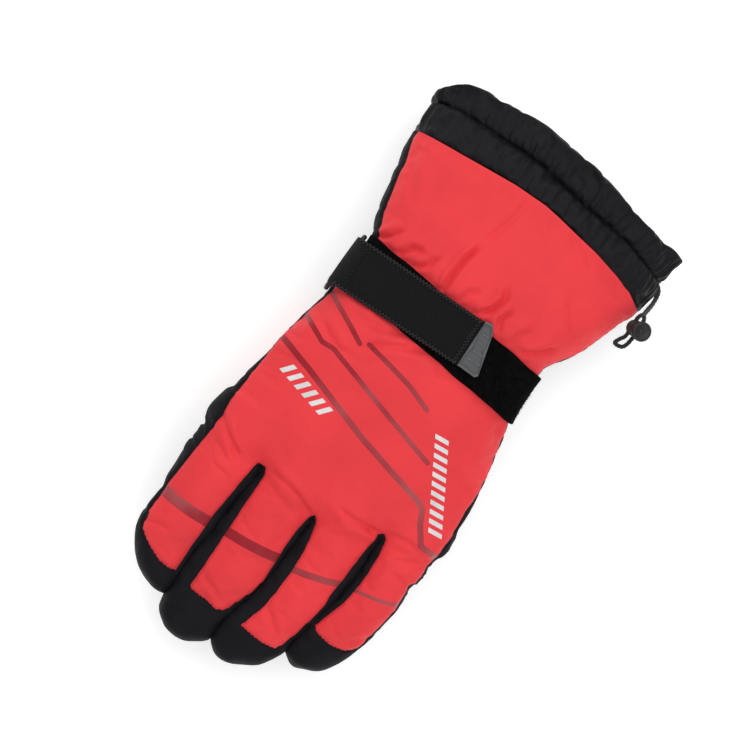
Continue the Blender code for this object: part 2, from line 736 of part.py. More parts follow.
def build_loop():
    """The plastic loop: a rounded rectangle of rod through the flap and the keeper."""
    corners = [
        loop_bar(LOOP_FAR, 1),
        loop_bar(LOOP_NEAR, 1),
        loop_bar(LOOP_NEAR, -1),
        loop_bar(LOOP_FAR, -1),
    ]
    radius = 2.4
    path = []
    for index, spot in enumerate(corners):
        before = (corners[index - 1] - spot).normalized()
        after = (corners[(index + 1) % 4] - spot).normalized()
        for step in range(4):
            share = step / 3
            path.append(spot + (before * (1 - share) ** 2 + after * share**2) * radius)
    wire("strap_loop", path, LOOP_WIRE, "black_plastic", cyclic=True, sides=2)


def build_strap():
    tape("strap_base", BASE_SPAN, BASE_TAPE, STRAP_WIDTH, STRAP_Y, STRAP_TILT, "loop_tape", 16)
    tape("strap_hook_patch", HOOK_SPAN, HOOK_TAPE, HOOK_WIDTH, FLAP_Y, 0.0, "hook_tape", 6)

    def tab_edge(share):
        top = TAB_TIP + (TAB_TOP - TAB_TIP) * share
        return TAB_BOTTOM, top

    tape("pull_tab", TAB_SPAN, TAB_TAPE, 0.0, 0.0, 0.0, "rubber_tab", 3, tab_edge)
    build_flap()
    build_keeper()
    build_loop()


def build_web_gussets():
    """The small saddles that close the front of the hand between two finger mouths."""
    (flex, extend), _ = joint_tangents()
    names = list(FINGERS)
    for first, second in zip(names, names[1:]):
        (x0, _), _, _, (half0, _, _), _, _ = FINGERS[first]
        (x1, _), _, _, (half1, _, _), _, _ = FINGERS[second]
        middle = (x0 + half0 + x1 - half1) / 2
        spread = [middle - 3.5, middle + 3.5]
        farthest = max(hand_end(x, KNUCKLE_Z) for x in spread)

        def point(x, share, depth):
            rise = -5.5 + 11.0 * share
            slope = flex if rise < 0 else extend
            y = farthest + abs(rise) * math.tan(math.radians(slope)) + 0.5 + depth
            return Vector((x, y, KNUCKLE_Z + rise))

        name = f"web_gusset_{first}_{second}"
        skin(name, point, spread, [0.0, 0.25, 0.5, 0.75, 1.0], (0.0, 0.8), "palm_leather")


def cord_line(side):
    """One strand of the drawcord, from the hem channel through the lock to the loop's end."""
    lock = Vector(LOCK_CENTRE) + LOCK_AXIS * CORD_LEVEL
    exit_spot = cuff_point(HEM_GAP, math.radians(7 * side), -2.6)
    spread = LOCK_SIDE * CORD_SPREAD * side
    bend = Vector((85.9, 128.0, 13.0)) + Vector((0.0, 0.0, 1.7 * side))
    return [
        cuff_point(HEM_GAP, math.radians(11 * side), CORD_DEPTH),
        exit_spot,
        (exit_spot + bend) / 2 + Vector((1.2, 0.0, 0.0)),
        bend,
        Vector((lock.x, 121.0, lock.z - 1.0)) + spread + Vector((0.6, 0.0, 0.0)),
        Vector((lock.x, lock.y + 4.0, lock.z)) + spread,
        Vector((lock.x, CORD_END_Y + 3.0, lock.z)) + spread,
        Vector((lock.x, CORD_END_Y + 1.0, lock.z)) + spread * 0.8,
        Vector((lock.x, CORD_END_Y, lock.z)) + spread * 0.45,
    ]


def build_drawcord():
    """Elastic cord round the hem, its doubled end led out through the lock on the outer side."""
    channel = [cuff_point(HEM_GAP, angle, CORD_DEPTH) for angle in degrees(20, 340, 34)]
    path = cord_line(1)[::-1] + channel + cord_line(-1)
    wire("drawcord", path, CORD_RADIUS, "elastic", cyclic=True, sides=1)


def lathe(name, rows, finish, sides=20):
    """A turned piece on the lock's axis from rows of (distance along the axis, radius)."""
    shape = bmesh.new()
    lock = Vector(LOCK_CENTRE)
    across = LOCK_AXIS.cross(LOCK_SIDE)
    rings = []
    for along, radius in rows:
        ring = []
        for turn in degrees(0, 360, sides)[:-1]:
            arm = LOCK_SIDE * math.cos(turn) + across * math.sin(turn)
            ring.append(shape.verts.new((lock + LOCK_AXIS * along + arm * radius) * MM))
        rings.append(ring)
    for near, far in zip(rings, rings[1:]):
        for i in range(sides):
            k = (i + 1) % sides
            shape.faces.new((near[i], near[k], far[k], far[i]))
    shape.faces.new(rings[0])
    shape.faces.new(rings[-1])
    bmesh.ops.recalc_face_normals(shape, faces=shape.faces[:])
    mesh = bpy.data.meshes.new(name)
    shape.to_mesh(mesh)
    shape.free()
    return add_object(name, mesh, finish)


def build_cord_lock():
    lock = Vector(LOCK_CENTRE)
    edge = 0.6
    barrel = [
        (-LOCK_HALF, LOCK_RADIUS - edge),
        (-LOCK_HALF + edge, LOCK_RADIUS),
        (LOCK_HALF - edge, LOCK_RADIUS),
        (LOCK_HALF, LOCK_RADIUS - edge),
        (LOCK_HALF, LOCK_BORE),
        (LOCK_BORE_FLOOR, LOCK_BORE),
    ]
    body = lathe("cord_lock_body", barrel, "black_plastic")
    for index, side in enumerate((-1, 1)):
        place = lock + LOCK_AXIS * CORD_LEVEL + LOCK_SIDE * CORD_SPREAD * side
        bar = round_bar(CORD_HOLE, 16.0, place, Vector((0, -1, 0)), 12)
        cutter(f"cord_hole_{index}", bar, body)
    head = [
        (STEM_FROM, STEM_RADIUS),
        (HEAD_FROM, STEM_RADIUS),
        (HEAD_FROM, HEAD_RADIUS - 0.4),
        (HEAD_FROM + 0.5, HEAD_RADIUS),
        (HEAD_TO - 0.8, HEAD_RADIUS),
        (HEAD_TO, HEAD_RADIUS - 1.0),
    ]
    lathe("cord_lock_button", head, "black_plastic")


def place_pivots():
    """The axes of the wrist, the strap's loop and flap, and the cord lock."""
    cuff = ["cuff_back_panel", "cuff_palm_panel", "cuff_lining", "hem_band", "hem_roll", "drawcord"]
    wrist = pivot("wrist_axis", (0.0, WRIST_Y, WRIST_Z), cuff)
    lock = pivot("cord_lock_axis", LOCK_CENTRE, ["cord_lock_body"], wrist)
    pivot("cord_lock_button_axis", LOCK_CENTRE, ["cord_lock_button"], lock)
    loop = pivot("strap_loop_axis", loop_bar(LOOP_NEAR, 0), ["strap_loop"])
    flap = ["strap_webbing", "strap_hook_patch", "pull_tab"]
    pivot("strap_flap_axis", loop_bar(LOOP_FAR, 0), flap, loop)


clear_scene()
GLOVE = collection("ski_glove")
CUTTERS = collection("cutters")
build_hand()
build_wrist_elastic()
build_palm_patch()
build_thumb_gusset()
build_fingers()
build_thumb()
build_cuff()
build_strap()
build_web_gussets()
build_drawcord()
build_cord_lock()
place_pivots()
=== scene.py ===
"""The look of a left-hand gauntlet ski glove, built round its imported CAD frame.

Lengths in this script are millimetres in the glove's own frame until an object is made, when they
become metres. +Z comes out of the back of the hand, -Y points to the fingertips, -X is the thumb
side. The outer shell is one soft surface: it is built with the fingers spread a little apart,
inflated by a cloth simulation, closed up again and cut into the panels it is sewn from.
"""

import json
import math

import bmesh
import bpy
import numpy as np
from mathutils import Matrix, Vector
from mathutils.bvhtree import BVHTree


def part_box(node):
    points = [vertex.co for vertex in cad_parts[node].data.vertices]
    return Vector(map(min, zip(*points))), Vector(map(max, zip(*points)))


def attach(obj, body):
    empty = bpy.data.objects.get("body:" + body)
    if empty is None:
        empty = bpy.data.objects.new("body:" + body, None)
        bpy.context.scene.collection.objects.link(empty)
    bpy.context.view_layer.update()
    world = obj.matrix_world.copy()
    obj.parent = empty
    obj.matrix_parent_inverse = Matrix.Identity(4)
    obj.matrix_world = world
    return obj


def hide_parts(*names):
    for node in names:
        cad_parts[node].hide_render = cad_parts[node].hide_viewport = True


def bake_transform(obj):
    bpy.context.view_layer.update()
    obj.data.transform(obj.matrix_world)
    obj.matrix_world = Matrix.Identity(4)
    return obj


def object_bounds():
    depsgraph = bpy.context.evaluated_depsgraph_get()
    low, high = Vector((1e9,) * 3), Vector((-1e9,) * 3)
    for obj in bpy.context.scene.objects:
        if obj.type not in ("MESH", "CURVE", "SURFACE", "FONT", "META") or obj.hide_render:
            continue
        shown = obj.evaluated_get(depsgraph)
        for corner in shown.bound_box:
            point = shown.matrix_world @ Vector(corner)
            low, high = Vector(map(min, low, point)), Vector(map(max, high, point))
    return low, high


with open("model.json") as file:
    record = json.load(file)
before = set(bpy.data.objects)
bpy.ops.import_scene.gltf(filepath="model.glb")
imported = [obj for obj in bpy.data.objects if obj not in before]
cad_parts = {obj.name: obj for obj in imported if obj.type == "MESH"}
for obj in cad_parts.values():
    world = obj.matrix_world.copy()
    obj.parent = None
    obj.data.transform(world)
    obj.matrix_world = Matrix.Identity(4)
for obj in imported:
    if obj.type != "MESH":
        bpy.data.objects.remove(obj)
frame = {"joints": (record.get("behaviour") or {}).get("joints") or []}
CAD_LOW, CAD_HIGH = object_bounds()
JOINTS = {joint["name"]: joint for joint in frame["joints"]}
MM = 0.001
VOXEL = 2.0
rng = np.random.default_rng(7)


def joint_mm(name):
    return np.array(JOINTS[name]["pos_m"]) * 1000.0


def joint_axis(name):
    return np.array(JOINTS[name]["axis"])


def box_mm(node):
    low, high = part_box(node)
    return np.array(low) * 1000.0, np.array(high) * 1000.0


def unit(vectors):
    return vectors / np.maximum(np.linalg.norm(vectors, axis=-1, keepdims=True), 1e-12)


def eased(share):
    """A share from 0 to 1 that starts and ends gently."""
    share = np.clip(share, 0.0, 1.0)
    return share * share * (3 - 2 * share)


# ---------------------------------------------------------------- outlines

def curve_through(rows, column=1):
    """A smooth function through the rows' values that doesn't overshoot them."""
    data = np.array(sorted((row[0], row[column]) for row in rows), float)
    x, v = data.T
    slope = np.diff(v) / np.diff(x)
    before, after = slope[:-1], slope[1:]
    same = before * after > 0
    tangent = np.zeros(len(x))
    tangent[1:-1][same] = 2 * before[same] * after[same] / (before[same] + after[same])
    tangent[0], tangent[-1] = slope[0], slope[-1]

    def at(value):
        value = np.clip(value, x[0], x[-1])
        i = np.clip(np.searchsorted(x, value) - 1, 0, len(x) - 2)
        span = x[i + 1] - x[i]
        s = (value - x[i]) / span
        ends = (2 * s**3 - 3 * s**2 + 1) * v[i] + (3 * s**2 - 2 * s**3) * v[i + 1]
        return ends + (s**3 - 2 * s**2 + s) * span * tangent[i] + (s**3 - s**2) * span * tangent[i + 1]

    return at


# The hand and gauntlet seen from above: y, thumb-side edge, little-finger edge, middle height,
# half thickness.
HAND_ROWS = (
    (-75.0, -71.0, 60.5, 17.5, 12.8), (-52.0, -70.6, 62.0, 19.8, 14.2), (-42.0, -70.2, 63.6, 20.0, 15.6),
    (-30.0, -69.2, 64.6, 20.2, 17.2), (-20.0, -68.0, 64.6, 20.3, 18.0), (-5.0, -65.0, 64.0, 20.3, 18.6),
    (8.0, -62.0, 62.6, 20.3, 18.8), (18.0, -60.4, 61.2, 20.3, 18.8), (28.0, -58.6, 59.6, 20.3, 18.6),
    (36.0, -56.4, 57.8, 20.3, 18.3), (44.0, -54.4, 55.6, 20.3, 17.9), (62.0, -52.8, 55.2, 20.3, 17.6),
    (72.0, -51.8, 56.2, 20.2, 17.8), (80.0, -51.2, 60.8, 19.8, 18.6), (90.0, -54.4, 66.4, 18.2, 20.6),
    (100.0, -57.0, 70.6, 16.0, 22.8), (110.0, -58.8, 74.2, 13.8, 24.4), (122.0, -60.6, 79.0, 11.2, 25.8),
    (138.0, -62.2, 81.4, 7.8, 26.8), (156.0, -63.0, 82.6, 3.8, 27.0), (176.0, -62.0, 83.0, -0.6, 26.4),
)
HAND_LEFT, HAND_RIGHT, HAND_MIDDLE, HAND_HALF = (curve_through(HAND_ROWS, column) for column in (1, 2, 3, 4))

# Lines where neighbouring fingers touch: y, x. The first row is the bottom of the slit.
CONTACTS = (
    ((-43.0, -34.0), (-50.0, -33.6), (-60.0, -34.6), (-80.0, -36.2), (-100.0, -38.0), (-140.0, -38.8)),
    (
        (-50.0, 1.6), (-70.0, 0.4), (-85.0, -0.6), (-100.0, -3.2), (-112.0, -7.0), (-121.0, -8.4),
        (-140.0, -8.6),
    ),
    (
        (-38.5, 34.6), (-60.0, 34.4), (-75.0, 33.0), (-88.0, 30.0), (-100.0, 26.6), (-110.0, 25.0),
        (-140.0, 24.8),
    ),
)
CONTACT_X = [curve_through(rows) for rows in CONTACTS]
WEB_Y = [rows[0][0] for rows in CONTACTS]
WEB_LINE = (
    (-76.0, -38.0), (-52.0, -42.0), (-34.0, -43.0), (-16.0, -47.0), (1.6, -50.0), (18.0, -46.0),
    (34.6, -38.5), (50.0, -37.0), (68.0, -34.0),
)
# How far neighbouring fingers press past the line they share.
PRESS = (2.7, 2.2, 2.2)
SLIT_OPENING = 11.0

FINGERS = ("index", "middle", "ring", "little")
# Each finger's two edges: the shared line that it follows, if any, then rows of y and x from there.
FINGER_EDGES = {
    "index": (
        (None, (
            (-15.0, -67.4), (-30.0, -69.2), (-45.0, -70.3), (-60.0, -71.4), (-95.0, -71.4), (-102.0, -70.0),
            (-110.0, -65.4), (-117.0, -59.4), (-120.5, -53.0), (-122.6, -46.5), (-123.4, -43.0),
        )),
        (0, ((-15.0, 0.0), (-117.0, 0.0), (-120.5, -1.0), (-122.6, -3.0), (-123.4, -4.4))),
    ),
    "middle": (
        (0, ((-15.0, 0.0), (-121.0, 0.6), (-128.0, 2.6), (-131.5, 5.4), (-134.0, 9.4), (-135.2, 14.0))),
        (1, ((-15.0, 0.0), (-122.0, -0.2), (-127.0, -0.8), (-130.5, -2.6), (-134.0, -9.0), (-135.2, -13.0))),
    ),
    "ring": (
        (1, ((-15.0, 0.0), (-121.0, 0.1), (-127.0, 1.6), (-130.5, 4.4), (-132.4, 7.6), (-133.2, 10.5))),
        (2, (
            (-15.0, 0.0), (-110.0, -0.2), (-116.0, -2.0), (-121.0, -4.8), (-126.0, -8.4), (-130.0, -14.8),
            (-132.4, -19.0), (-133.2, -22.4),
        )),
    ),
    "little": (
        (2, ((-15.0, 0.0), (-107.0, 0.3), (-111.0, 1.6), (-114.0, 4.2), (-116.4, 9.0))),
        (None, (
            (-15.0, 64.2), (-35.0, 64.0), (-45.0, 63.4), (-49.0, 62.2), (-53.5, 60.4), (-58.0, 61.2),
            (-66.0, 61.7), (-74.0, 60.8), (-84.0, 58.8), (-92.0, 56.8), (-99.0, 54.2), (-107.0, 49.8),
            (-112.5, 45.2), (-115.2, 39.6), (-116.4, 35.0),
        )),
    ),
}
TIP_END = {name: edges[0][1][-1][0] for name, edges in FINGER_EDGES.items()}
HALF_WIDTH = {"index": 17.0, "middle": 17.0, "ring": 15.6, "little": 14.0}
TIP_DROOP = math.tan(math.radians(17.0))
# Where each finger is cut from the hand: the ends of a line, x and y.
CUT_LINES = {
    "index": ((-76.0, -44.0), (-34.0, -46.0)),
    "middle": ((-34.0, -46.0), (1.6, -53.0)),
    "ring": ((1.6, -53.0), (34.6, -41.5)),
    "little": ((34.6, -41.5), (70.0, -41.5)),
}


def finger_edges(name, y):
    """The two edges of a finger, seen from above, at stations y."""
    edges = []
    for side, (line, rows) in zip((-1, 1), FINGER_EDGES[name]):
        edge = curve_through(rows)(y)
        if line is not None:
            edge = CONTACT_X[line](y) + edge + side * overlap_at(line, y)
        edges.append(edge)
    return edges


def finger_height(name, y):
    """Middle height and half thickness of a finger: it droops at both of its joints."""
    knuckle, bend = joint_mm(f"{name}_knuckle"), joint_mm(f"{name}_middle_joint")
    slope = (bend[2] - knuckle[2]) / (bend[1] - knuckle[1])
    beyond = np.sqrt(np.minimum(y - bend[1], 0.0) ** 2 + 9.0) - 3.0
    before = knuckle[2] + slope * np.minimum(y - knuckle[1], 0.0)
    middle = np.where(y > bend[1], before, bend[2] - TIP_DROOP * beyond)
    return middle, 12.9 - 1.3 * np.clip((knuckle[1] - y) / 70.0, 0.0, 1.0)


# ---------------------------------------------------------------- implicit shell

def overlap_at(line, y):
    """How far neighbouring fingers press past the line they share."""
    return PRESS[line] * np.clip((WEB_Y[line] + 1.0 - y) / 5.0, 0.0, 1.0)


def spread_of(finger, y):
    """How far a finger is moved aside while the slits are open."""
    total = 0.0
    for slit, web in enumerate(WEB_Y):
        opened = SLIT_OPENING * np.clip((web - y) / 8.0, 0.0, 1.0) ** 0.8
        total = total + (0.5 if finger > slit else -0.5) * opened
    return total


def tube(x, z, left, right, middle, half, power):
    """Positive inside a rounded section."""
    across = np.maximum((right - left) / 2, 0.4)
    u = np.abs(x - (left + right) / 2) / across
    v = np.abs(z - middle) / np.maximum(half, 0.4)
    return (1 - (u**power + v**power) ** (1 / power)) * np.minimum(across, half)


def smooth_max(a, b, k):
    h = np.clip(1 - np.abs(a - b) / k, 0.0, 1.0)
    return np.maximum(a, b) + h * h * k / 4


def shell_field(x, y, z, label):
    """Positive inside the glove. x is in the closed position, label is the finger region."""
    hand_power = np.where(z > HAND_MIDDLE(y), 2.35, 3.0)
    hand = tube(x, z, HAND_LEFT(y), HAND_RIGHT(y), HAND_MIDDLE(y), HAND_HALF(y), hand_power)
    web = np.interp(x, *np.transpose(WEB_LINE))
    result = -smooth_max(-hand, -(y - web), 7.0)
    for index, name in enumerate(FINGERS):
        left, right = finger_edges(name, y)
        middle, half = finger_height(name, y)
        close = np.clip((right - left) / 2 / HALF_WIDTH[name], 0.02, 1.0)
        near_tip = y < TIP_END[name] + 26.0
        half = np.where(near_tip, half * np.sqrt(np.clip(1 - (1 - close) ** 2.2, 0.0, 1.0)), half)
        inset = 2.2 * np.clip((y + 50.0) / 14.0, 0.0, 1.0)
        stall = tube(x, z, left + inset * (index == 0), right - inset * (index == 3), middle, half, 2.25)
        stall = np.where(y < TIP_END[name], -(TIP_END[name] - y) - 0.5, stall)
        stall = np.where((y > -20.0) | (label != index), -30.0, stall)
        result = smooth_max(result, stall, 6.0)
    return result


def surface_nets(value, origin):
    """A quad mesh of the zero level of a sampled field, one vertex in each crossed cell."""
    cells = tuple(n - 1 for n in value.shape)
    total = np.zeros(cells + (3,))
    count = np.zeros(cells)
    edges = []
    for axis in range(3):
        a = np.delete(value, -1, axis)
        b = np.delete(value, 0, axis)
        crossed = (a > 0) != (b > 0)
        corner = np.argwhere(crossed)
        spot = corner.astype(float)
        spot[:, axis] += a[crossed] / (a[crossed] - b[crossed])
        one, two = (n for n in range(3) if n != axis)
        edges.append((axis, one, two, corner, a[crossed] > 0))
        for back_one in (0, 1):
            for back_two in (0, 1):
                cell = corner.copy()
                cell[:, one] -= back_one
                cell[:, two] -= back_two
                ok = np.all((cell >= 0) & (cell < np.array(cells)), axis=1)
                where = tuple(cell[ok].T)
                np.add.at(total, where, spot[ok])
                np.add.at(count, where, 1.0)
    used = count > 0
    number = -np.ones(cells, int)
    number[used] = np.arange(used.sum())
    quads = []
    for axis, one, two, corner, positive in edges:
        ring = []
        for back_one, back_two in ((0, 0), (1, 0), (1, 1), (0, 1)):
            cell = corner.copy()
            cell[:, one] -= back_one
            cell[:, two] -= back_two
            ok = np.all((cell >= 0) & (cell < np.array(cells)), axis=1)
            ring.append(np.full(len(cell), -1))
            ring[-1][ok] = number[tuple(cell[ok].T)]
        face = np.stack(ring, 1)
        flip = positive if axis != 1 else ~positive
        face[~flip] = face[~flip][:, ::-1]
        quads.append(face[np.all(face >= 0, axis=1)])
    return total[used] / count[used][:, None] * VOXEL + origin, np.concatenate(quads)


def relax(points, quads, rounds, pull=0.5):
    """Even out a quad mesh without shrinking it."""
    pairs = np.concatenate([quads[:, [i, (i + 1) % 4]] for i in range(4)])
    degree = np.bincount(pairs.ravel(), minlength=len(points))
    for turn in range(rounds * 2):
        total = np.zeros_like(points)
        np.add.at(total, pairs[:, 0], points[pairs[:, 1]])
        np.add.at(total, pairs[:, 1], points[pairs[:, 0]])
        towards = total / degree[:, None] - points
        points = points + towards * (pull if turn % 2 == 0 else -pull * 1.04)
    return points


def closed_up(x, y):
    """X with the fingers closed up, and each point's finger, or -1 inside an opened slit."""
    closed = x.copy()
    finger = np.full(x.shape, -1)
    for index in range(4):
        shift = spread_of(index, y)
        left = -1e3 if index == 0 else CONTACT_X[index - 1](y) + shift - 1.3 * overlap_at(index - 1, y)
        right = 1e3 if index == 3 else CONTACT_X[index](y) + shift + 1.3 * overlap_at(index, y)
        inside = (x >= left) & (x <= right)
        finger = np.where(inside, index, finger)
    for index in range(4):
        closed = np.where(finger == index, x - spread_of(index, y), closed)
    return closed, finger


def slits_closed_up(x, y):
    """The same, with the points at the bottom of an opened slit shared out to both fingers."""
    closed, finger = closed_up(x, y)
    outside = finger < 0
    for line in range(3):
        reach = 1.3 * overlap_at(line, y)
        left = CONTACT_X[line](y) + spread_of(line, y) + reach
        right = CONTACT_X[line](y) + spread_of(line + 1, y) - reach
        between = outside & (x > left) & (x < right)
        share = np.clip((x - left) / np.maximum(right - left, 0.01), 0.0, 1.0)
        closed = np.where(between, CONTACT_X[line](y) + reach * (1 - 2 * share), closed)
        finger = np.where(between, line + (share > 0.5), finger)
    return closed, finger


def build_shell():
    """Points and quads of the shell with its fingers spread apart."""
    low, high = np.array([-92.0, -142.0, -38.0]), np.array([100.0, 182.0, 46.0])
    x, y, z = np.meshgrid(*[np.arange(a, b, VOXEL) for a, b in zip(low, high)], indexing="ij")
    closed, finger = closed_up(x, y)
    value = shell_field(closed, y, z, finger)
    points, quads = surface_nets(np.where(finger < 0, np.minimum(value, -0.5), value), low)
    return relax(points, quads, 6), quads


# ---------------------------------------------------------------- meshes and cloth

SIM_SCALE = 10.0
SIM_FRAMES = 20
CLOTH = {
    "quality": 5, "mass": 0.15, "tension_stiffness": 20, "compression_stiffness": 20, "shear_stiffness": 8,
    "air_damping": 3.0, "use_pressure": True, "vertex_group_mass": "pins", "pin_stiffness": 1.0,
}


def mesh_object(name, points, faces):
    """A mesh object from millimetre points."""
    mesh = bpy.data.meshes.new(name)
    mesh.from_pydata((np.asarray(points) * MM).tolist(), [], [list(map(int, face)) for face in faces])
    mesh.update()
    made = bpy.data.objects.new(name, mesh)
    bpy.context.scene.collection.objects.link(made)
    return made


def points_of(obj):
    spots = np.zeros(len(obj.data.vertices) * 3, np.float32)
    obj.data.vertices.foreach_get("co", spots)
    return spots.reshape(-1, 3).astype(float) * 1000.0


def corners_of(obj):
    """The vertex of each face corner."""
    corners = np.zeros(len(obj.data.loops), np.int32)
    obj.data.loops.foreach_get("vertex_index", corners)
    return corners.astype(int)


def inflate(points, faces, pins, most, pressure=4.0, growth=0.03, bending=0.4):
    """Points after a short cloth simulation under inner pressure. pins are weights from 0 to 1."""
    scene = bpy.context.scene
    body = mesh_object("cloth_body", points * SIM_SCALE, faces)
    group = body.vertex_groups.new(name="pins")
    for weight in (0.25, 0.5, 0.75, 1.0):
        chosen = np.nonzero(np.abs(pins - weight) < 0.125)[0]
        if len(chosen):
            group.add([int(i) for i in chosen], weight, "REPLACE")
    cloth = body.modifiers.new("cloth", "CLOTH")
    for key, value in CLOTH.items():
        setattr(cloth.settings, key, value)
    cloth.settings.bending_stiffness = bending
    cloth.settings.uniform_pressure_force = pressure
    cloth.settings.shrink_min = -growth
    cloth.settings.effector_weights.gravity = 0.0
    cloth.collision_settings.use_collision = False
    cloth.collision_settings.use_self_collision = False
    cloth.point_cache.frame_start, cloth.point_cache.frame_end = 1, SIM_FRAMES
    scene.frame_start, scene.frame_end = 1, SIM_FRAMES
    for number in range(1, SIM_FRAMES + 1):
        scene.frame_set(number)
    bpy.context.view_layer.objects.active = body
    bpy.ops.object.modifier_apply(modifier="cloth")
    travel = points_of(body) / SIM_SCALE - points
    scene.frame_set(1)
    bpy.data.objects.remove(body)
    reach = np.linalg.norm(travel, axis=1)
    return points + travel * np.minimum(1.0, most / np.maximum(reach, 1e-9))[:, None]


def subdivided(points, faces):
    """One level of Catmull-Clark subdivision."""
    body = mesh_object("smooth_body", points, faces)
    body.modifiers.new("smooth", "SUBSURF").levels = 1
    evaluated = body.evaluated_get(bpy.context.evaluated_depsgraph_get())
    made = bpy.data.objects.new("smooth_result", bpy.data.meshes.new_from_object(evaluated))
    result = points_of(made), corners_of(made).reshape(-1, 4)
    bpy.data.objects.remove(body)
    bpy.data.objects.remove(made)
    return result


def triangles_of(points, quads):
    """Quads cut along their shorter diagonal."""
    a, b, c, d = (points[quads[:, i]] for i in range(4))
    first = (np.linalg.norm(a - c, axis=1) <= np.linalg.norm(b - d, axis=1))[:, None]
    one = np.where(first, quads[:, [0, 1, 2]], quads[:, [0, 1, 3]])
    two = np.where(first, quads[:, [0, 2, 3]], quads[:, [1, 2, 3]])
    return np.concatenate([one, two])


def vertex_normals(points, triangles):
    a, b, c = (points[triangles[:, i]] for i in range(3))
    face = np.cross(b - a, c - a)
    total = np.zeros_like(points)
    for i in range(3):
        np.add.at(total, triangles[:, i], face)
    return unit(total)


# ---------------------------------------------------------------- sheets
# A sheet is a dictionary of arrays: points, triangles, normals and fields with a value per point.

def divide(sheet, field):
    """The sheet with its triangles cut along the field's zero line, and each triangle's side."""
    field = np.where(np.abs(field) < 0.04, 0.0, field)
    triangles = sheet["triangles"]
    sign = np.sign(field)[triangles]
    crossed = (sign.max(1) > 0) & (sign.min(1) < 0)
    pairs = {}
    cut, cut_sides = [], []

    def crossing(p, q):
        return pairs.setdefault((min(p, q), max(p, q)), len(field) + len(pairs))

    for row, signs in zip(triangles[crossed].tolist(), sign[crossed].tolist()):
        if 0 in signs:
            i = signs.index(0)
            a, b, c = row[i], row[(i + 1) % 3], row[(i + 2) % 3]
            between = crossing(b, c)
            cut += [(a, b, between), (a, between, c)]
            cut_sides += [signs[(i + 1) % 3] > 0, signs[(i + 2) % 3] > 0]
            continue
        i = next(n for n in range(3) if signs[n] != signs[(n + 1) % 3] and signs[n] != signs[n - 1])
        a, b, c = row[i], row[(i + 1) % 3], row[(i + 2) % 3]
        ab, ac = crossing(a, b), crossing(a, c)
        cut += [(a, ab, ac), (ab, b, c), (ab, c, ac)]
        cut_sides += [signs[i] > 0, signs[i] < 0, signs[i] < 0]
    sides = sign[~crossed].sum(1) >= 0
    if not cut:
        return sheet, sides
    first, second = np.array(list(pairs), int).T
    share = field[first] / (field[first] - field[second])
    result = {"triangles": np.concatenate([triangles[~crossed], np.array(cut, int)])}
    for key, value in sheet.items():
        if key != "triangles":
            wide = share[:, None] if value.ndim > 1 else share
            between = value[first] * (1 - wide) + value[second] * wide
            result[key] = np.concatenate([value, between])
    return result, np.concatenate([sides, np.array(cut_sides, bool)])


def part_of(sheet, chosen):
    """The chosen triangles of a sheet, with only the points they use."""
    used, packed = np.unique(sheet["triangles"][chosen], return_inverse=True)
    result = {key: value[used] for key, value in sheet.items() if key != "triangles"}
    result["triangles"] = packed.reshape(-1, 3)
    return result


def split(sheet, name):
    """The sheet's parts on the positive and the negative side of one of its own fields."""
    divided, positive = divide(sheet, sheet[name])
    return part_of(divided, positive), part_of(divided, ~positive)


def sewn(sheet, seams):
    """The sheet cut along and beside its seams, with the seams sunk in."""
    for name, cuts, _, _ in seams:
        for cut in cuts:
            sheet = divide(sheet, sheet[name] - cut)[0]
    relief = sum(-depth * np.exp(-((sheet[name] / width) ** 2)) for name, _, depth, width in seams)
    sheet["points"] = sheet["points"] + sheet["normals"] * relief[:, None]
    sheet["normals"] = vertex_normals(sheet["points"], sheet["triangles"])
    return sheet


def dress(made, look):
    made.data.materials.append(LOOKS[look])
    return made


def put(made, body, *nodes):
    """A piece on one body, in place of CAD nodes."""
    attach(made, body)
    if nodes:
        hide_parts(*nodes)


def sheet_object(name, sheet, look):
    """A sewn panel: its own mesh, with the whole shell's normals so that seams don't shade apart."""
    made = mesh_object(name, sheet["points"], sheet["triangles"])
    mesh = made.data
    for key, value in sheet.items():
        if value.ndim == 1:
            mesh.attributes.new(key, "FLOAT", "POINT").data.foreach_set("value", value.astype(np.float32))
    mesh.polygons.foreach_set("use_smooth", [True] * len(mesh.polygons))
    mesh.normals_split_custom_set_from_vertices(unit(sheet["normals"]).tolist())
    return dress(made, look)


def sewn_panels(start, sheet, last="leather"):
    """The red, black and leather panels of a sheet. Their names begin with start."""
    red, black = split(sheet, "seam")
    leather, cloth = split(black, "leather")
    return (
        sheet_object(start + "back_panel", red, "red"),
        sheet_object(start + "side_panels", cloth, "softshell"),
        sheet_object(start + last, leather, "leather"),
    )


# ---------------------------------------------------------------- panels, creases and prints

